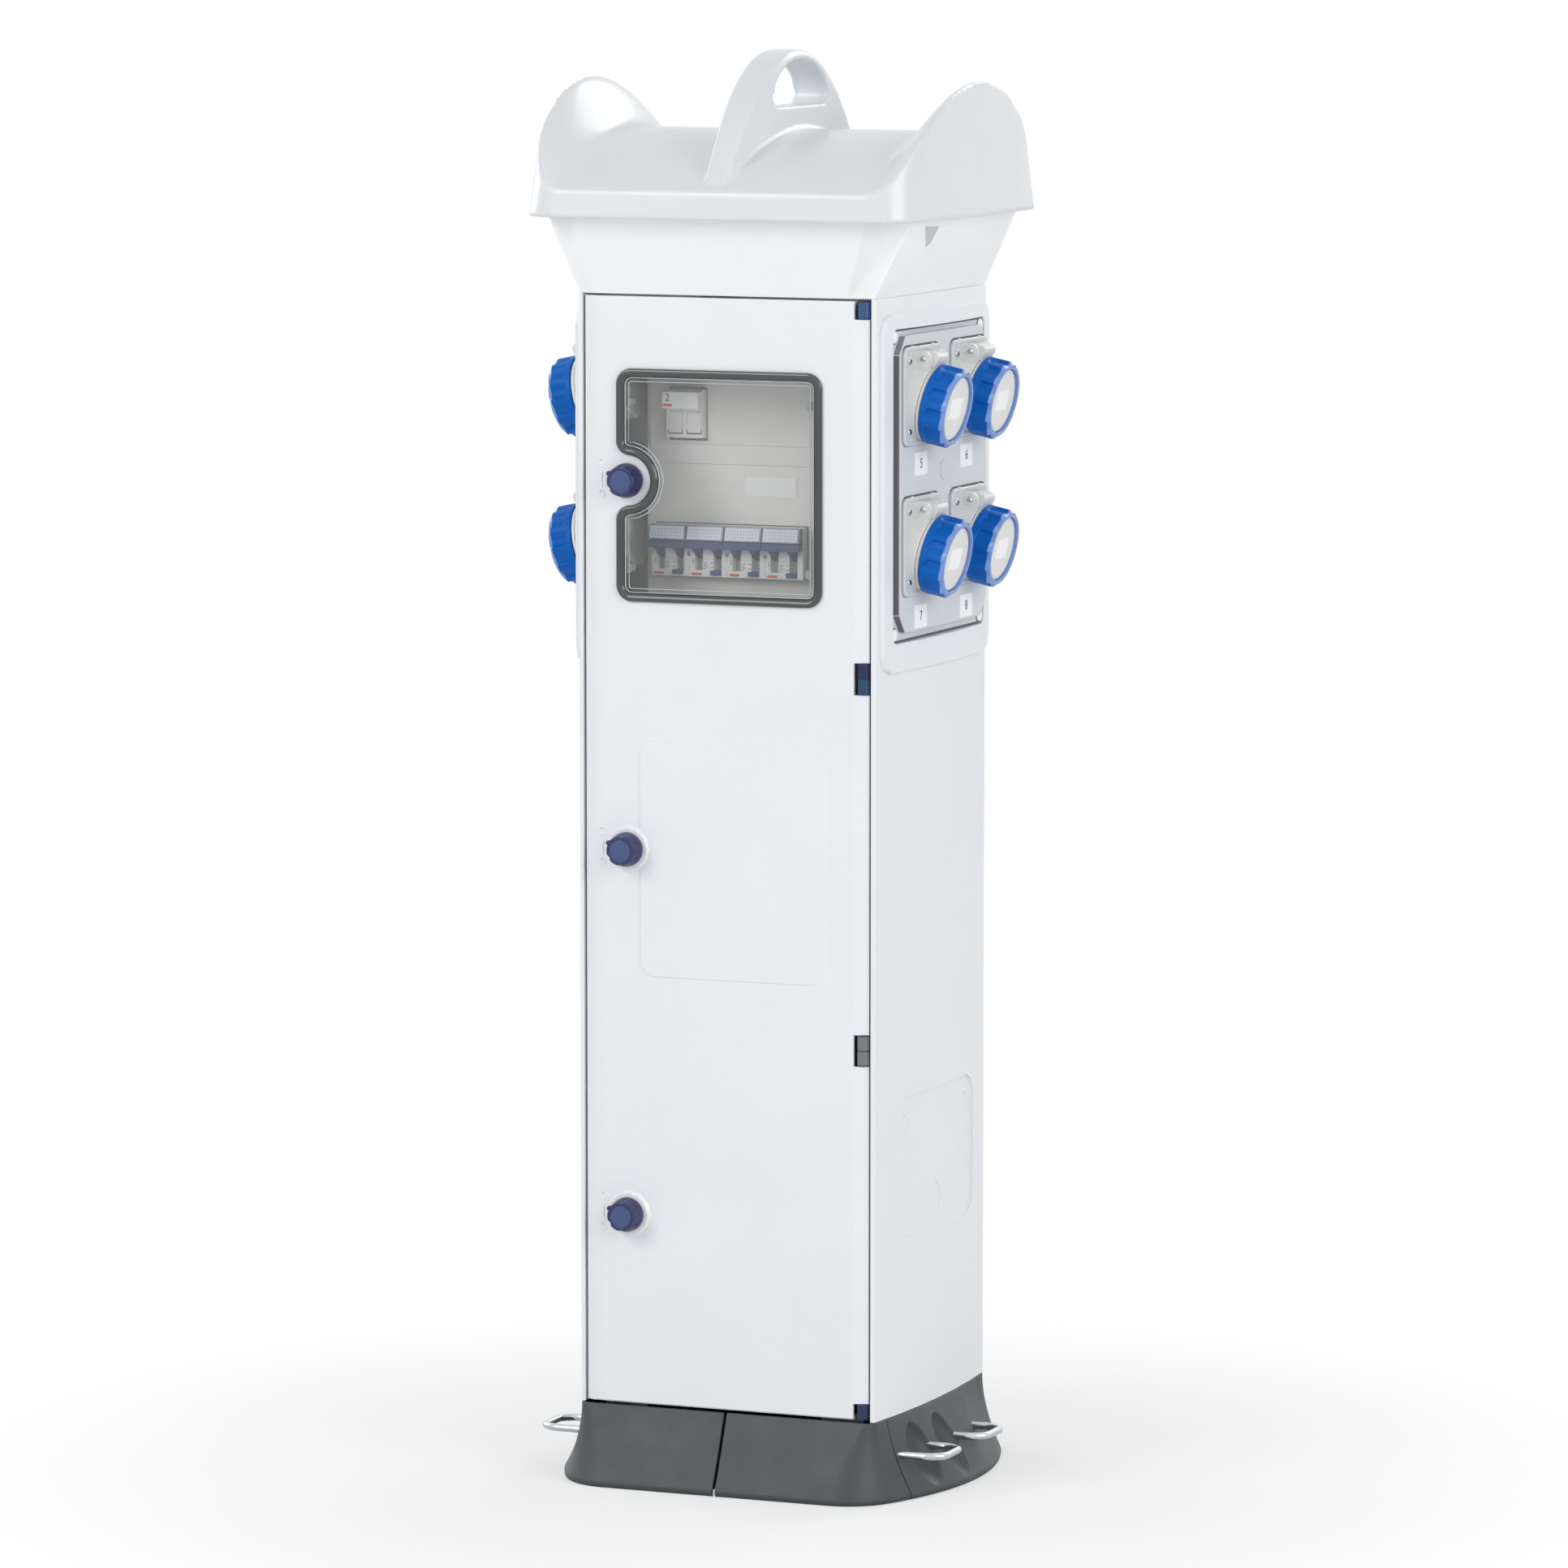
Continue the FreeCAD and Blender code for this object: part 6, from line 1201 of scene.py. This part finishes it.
def make_door_marks():
    """The raised lower field, and the open and shut signs and short arc beside each lock."""
    for side in (FRONT, REAR):
        field = side.plate(Shape(), (-80, 94, 449, 658.5), 14, MARK_BACK, 0.9, 0.7)
        field.piece("door_field" + side.ending, "body_enamel", side.door)
        marks = Shape()
        for level in LOCK_LEVELS[1:] + LOCK_LEVELS[:1]:
            for rise in (PADLOCK_RISE, -PADLOCK_RISE):
                high = level + rise + 2.6
                box = (PADLOCK_ACROSS - 3, PADLOCK_ACROSS + 3, level + rise - 2.6, high)
                side.plate(marks, box, 0.8, MARK_BACK, MARK_HIGH, 0.2)
                bow = arc((PADLOCK_ACROSS, high), 2.2, 0, math.pi, 8)
                bow += arc((PADLOCK_ACROSS, high), 1.4, math.pi, 0, 8)
                side.ridge(marks, bow, MARK_BACK, MARK_HIGH)
            start, end = math.radians(165), math.radians(195)
            line = arc((LOCK_ACROSS, level), 25, start, end, 8)
            line += arc((LOCK_ACROSS, level), 24, end, start, 8)
            side.ridge(marks, line, MARK_BACK, MARK_HIGH)
        marks.piece("lock_marks" + side.ending, "body_enamel", side.door)


# Socket plate furniture

PLATE_SUNK, PLATE_EDGE = 143.4, 143.9
NUMBER_PLACES = ((-54, 897), (54, 897), (-54, 765), (54, 765))
PLATE_SCREWS = ((-101, 1008), (101, 1008), (-101, 752), (101, 752))
SEAT_ROWS = ((PLATE_SUNK, 6.3), (PLATE_SUNK + 0.45, 6.3), (PLATE_SUNK + 0.45, 1.0))
PLATE_BOSS_ROWS = ((149.9, 8.5), (150.7, 8.5), (151.1, 8.1), (151.1, 6.2), (150.6, 5.8), (150.6, 1.0))
# Insets and levels of the dark ring of painted shade round the plate pocket
POCKET_SHADE_ROWS = ((0.6, PLATE_SUNK), (0.6, PLATE_SUNK + 0.4), (2.2, PLATE_SUNK + 0.4), (2.2, PLATE_SUNK))
EDGE_BANDS = (
    ("plate_walls", ((103.0, 769.6), (103.0, 992.4), (103.3, 992.4), (103.3, 769.6))),
    ("plate_walls", ((102.6, 768.6), (89.6, 753.8), (89.8, 753.6), (102.8, 768.4))),
    ("plate_slants", ((102.6, 993.4), (89.6, 1008.2), (89.8, 1008.4), (102.8, 993.6))),
)
PLATE_LOOKS = {
    "number_labels": "paper_label", "plate_screws": "paper_label", "plate_screw_seats": "joint_dark",
    "plate_screw_marks": "socket_grey", "pocket_painted_shade": "joint_dark", "plate_walls": "plate_wall_shade",
    "plate_slants": "plate_slant_shade", "plate_boss": "socket_grey",
}


def make_plate_furniture():
    """Number labels, corner screws, boss and shaded edge bands of each raised socket plate."""
    for side, first in ((RIGHT, 5), (LEFT, 1)):
        shapes = defaultdict(Shape)
        for number, (across, level) in enumerate(NUMBER_PLACES):
            box = (across - 14.5, across + 14.5, level - 10, level + 10)
            side.plate(shapes["number_labels"], box, 0.8, 149.9, 0.35, 0.1)
            name = "number_%s_%d" % (side.name, number + 1)
            digit(str(first + number), name, side, (across, level, 150.3), 12)
        for across, level in PLATE_SCREWS:
            spot = side(across, level, PLATE_SUNK)
            side.screw(shapes["plate_screws"], None, spot, 5.3, 2.4)
            side.screw(shapes["plate_screw_marks"], None, spot + side.out * 2.2, 0.9, 0.3)
            shapes["plate_screw_seats"].loft(side.discs(across, level, SEAT_ROWS, 32))
        shapes["plate_boss"].loft(side.discs(0, 888, PLATE_BOSS_ROWS, 40))
        # A dark ring round the pocket's edge: painted shade along the pocket wall
        rings = []
        for inset, out in POCKET_SHADE_ROWS:
            spots = rounded_rectangle(-108 + inset, 108 - inset, 744.5 + inset, 1015 - inset, 5.5)
            rings.append([side(across, level, out) for across, level in spots])
        shapes["pocket_painted_shade"].loft(rings, round_trip=True)
        for end in (-1, 1):
            for name, corners in EDGE_BANDS:
                band = [(across * end, level) for across, level in corners]
                side.ridge(shapes[name], band, PLATE_EDGE, 5.2)
        build_all(shapes, PLATE_LOOKS, side.ending)


make_sockets()
make_locks()
make_loops()
make_plinth()
make_cap()
make_hinge_sleeves()
make_edge_painted_shades()
make_neck_fold_painted_shades()
make_windows()
make_breaker_fronts()
make_panel_furniture()
make_fuse_furniture()
make_door_marks()
make_plate_furniture()


# Floor, light and camera, in metres

FLOOR_HALF = 12
SHADOW_NEAR, SHADOW_FAR = 0.22, 0.85
PHOTO_WIDE, PHOTO_FOCAL, SENSOR_WIDE = 1932, 10292, 36
CAMERA_AZIMUTH, CAMERA_DIP = math.radians(22.42), math.radians(6.575)
CAMERA_DISTANCE, CAMERA_HEIGHT = 7.289, 1.4467
WHITE = (1, 1, 1, 1)


def make_floor():
    """A wide pale floor that keeps the object's shadow and fades to a white backdrop."""
    grid = bmesh.new()
    bmesh.ops.create_grid(grid, x_segments=8, y_segments=8, size=FLOOR_HALF)
    mesh = bpy.data.meshes.new("floor")
    grid.to_mesh(mesh)
    grid.free()
    material = bpy.data.materials.new("floor_pale")
    tree = emptied_tree(material)
    matte = add_node(tree, "ShaderNodeBsdfDiffuse", {"Color": (0.86, 0.86, 0.86, 1)}).outputs["BSDF"]
    glow = add_node(tree, "ShaderNodeEmission", {"Color": WHITE, "Strength": 1.0}).outputs["Emission"]
    seen = add_node(tree, "ShaderNodeLightPath").outputs["Is Camera Ray"]
    where = add_node(tree, "ShaderNodeTexCoord").outputs["Object"]
    far = add_node(tree, "ShaderNodeVectorMath", {0: where}, operation="LENGTH").outputs["Value"]
    reach = {"Value": far, "From Min": SHADOW_NEAR, "From Max": SHADOW_FAR, "To Min": 0.5, "To Max": 1.0}
    fade = add_node(tree, "ShaderNodeMapRange", reach, interpolation_type="SMOOTHSTEP").outputs["Result"]
    share = add_node(tree, "ShaderNodeMath", {0: seen, 1: fade}, operation="MULTIPLY").outputs["Value"]
    mix = add_node(tree, "ShaderNodeMixShader", {"Fac": share, 1: matte, 2: glow})
    add_node(tree, "ShaderNodeOutputMaterial", {"Surface": mix.outputs["Shader"]})
    mesh.materials.append(material)
    on_scene("floor", mesh)


def make_world():
    """Soft even light, with plain white where the camera, gloss or clear plastic sees the backdrop."""
    world = bpy.data.worlds.new("studio")
    bpy.context.scene.world = world
    tree = emptied_tree(world)
    tones = (((0.95, 0.97, 1.0, 1), 0.48), (WHITE, 1.0))
    light, white = (
        add_node(tree, "ShaderNodeBackground", {"Color": colour, "Strength": strength}).outputs["Background"]
        for colour, strength in tones
    )
    path = add_node(tree, "ShaderNodeLightPath").outputs
    rays = {0: path["Is Camera Ray"], 1: path["Is Glossy Ray"]}
    first = add_node(tree, "ShaderNodeMath", rays, operation="MAXIMUM").outputs["Value"]
    rays = {0: first, 1: path["Is Transmission Ray"]}
    second = add_node(tree, "ShaderNodeMath", rays, operation="MAXIMUM").outputs["Value"]
    mix = add_node(tree, "ShaderNodeMixShader", {"Fac": second, 1: light, 2: white})
    add_node(tree, "ShaderNodeOutputWorld", {"Surface": mix.outputs["Shader"]})


def area_light(name, place, target, size, power):
    """A square soft box aimed at a point."""
    lamp = bpy.data.lights.new(name, "AREA")
    lamp.shape = "SQUARE"
    lamp.size = size
    lamp.energy = power
    holder = on_scene(name, lamp)
    holder.location = place
    aim = Vector(target) - Vector(place)
    holder.rotation_euler = aim.to_track_quat("-Z", "Y").to_euler()


def make_camera():
    """The photograph's viewpoint: right of the front door, a little above the top."""
    data = bpy.data.cameras.new("camera")
    data.sensor_width = SENSOR_WIDE
    data.lens = SENSOR_WIDE * PHOTO_FOCAL / PHOTO_WIDE
    camera = on_scene("camera", data)
    turn = Matrix.Rotation(CAMERA_AZIMUTH, 4, "Z") @ Matrix.Rotation(math.pi / 2 - CAMERA_DIP, 4, "X")
    across, back = math.sin(CAMERA_AZIMUTH), -math.cos(CAMERA_AZIMUTH)
    place = Vector((CAMERA_DISTANCE * across, CAMERA_DISTANCE * back, CAMERA_HEIGHT))
    camera.matrix_world = Matrix.Translation(place) @ turn
    bpy.context.scene.camera = camera


make_floor()
make_world()
area_light("key", (-2.6, -4.2, 3.4), (0, 0, 0.6), 2.6, 100)
area_light("fill", (4.4, -2.2, 2.4), (0, 0, 0.6), 2.8, 92)
area_light("back", (1.2, 4.6, 3.6), (0, 0, 0.7), 2.6, 64)
area_light("left", (-4.6, 1.4, 2.2), (0, 0, 0.6), 2.6, 48)
make_camera()
bpy.context.scene.view_settings.view_transform = "Standard"
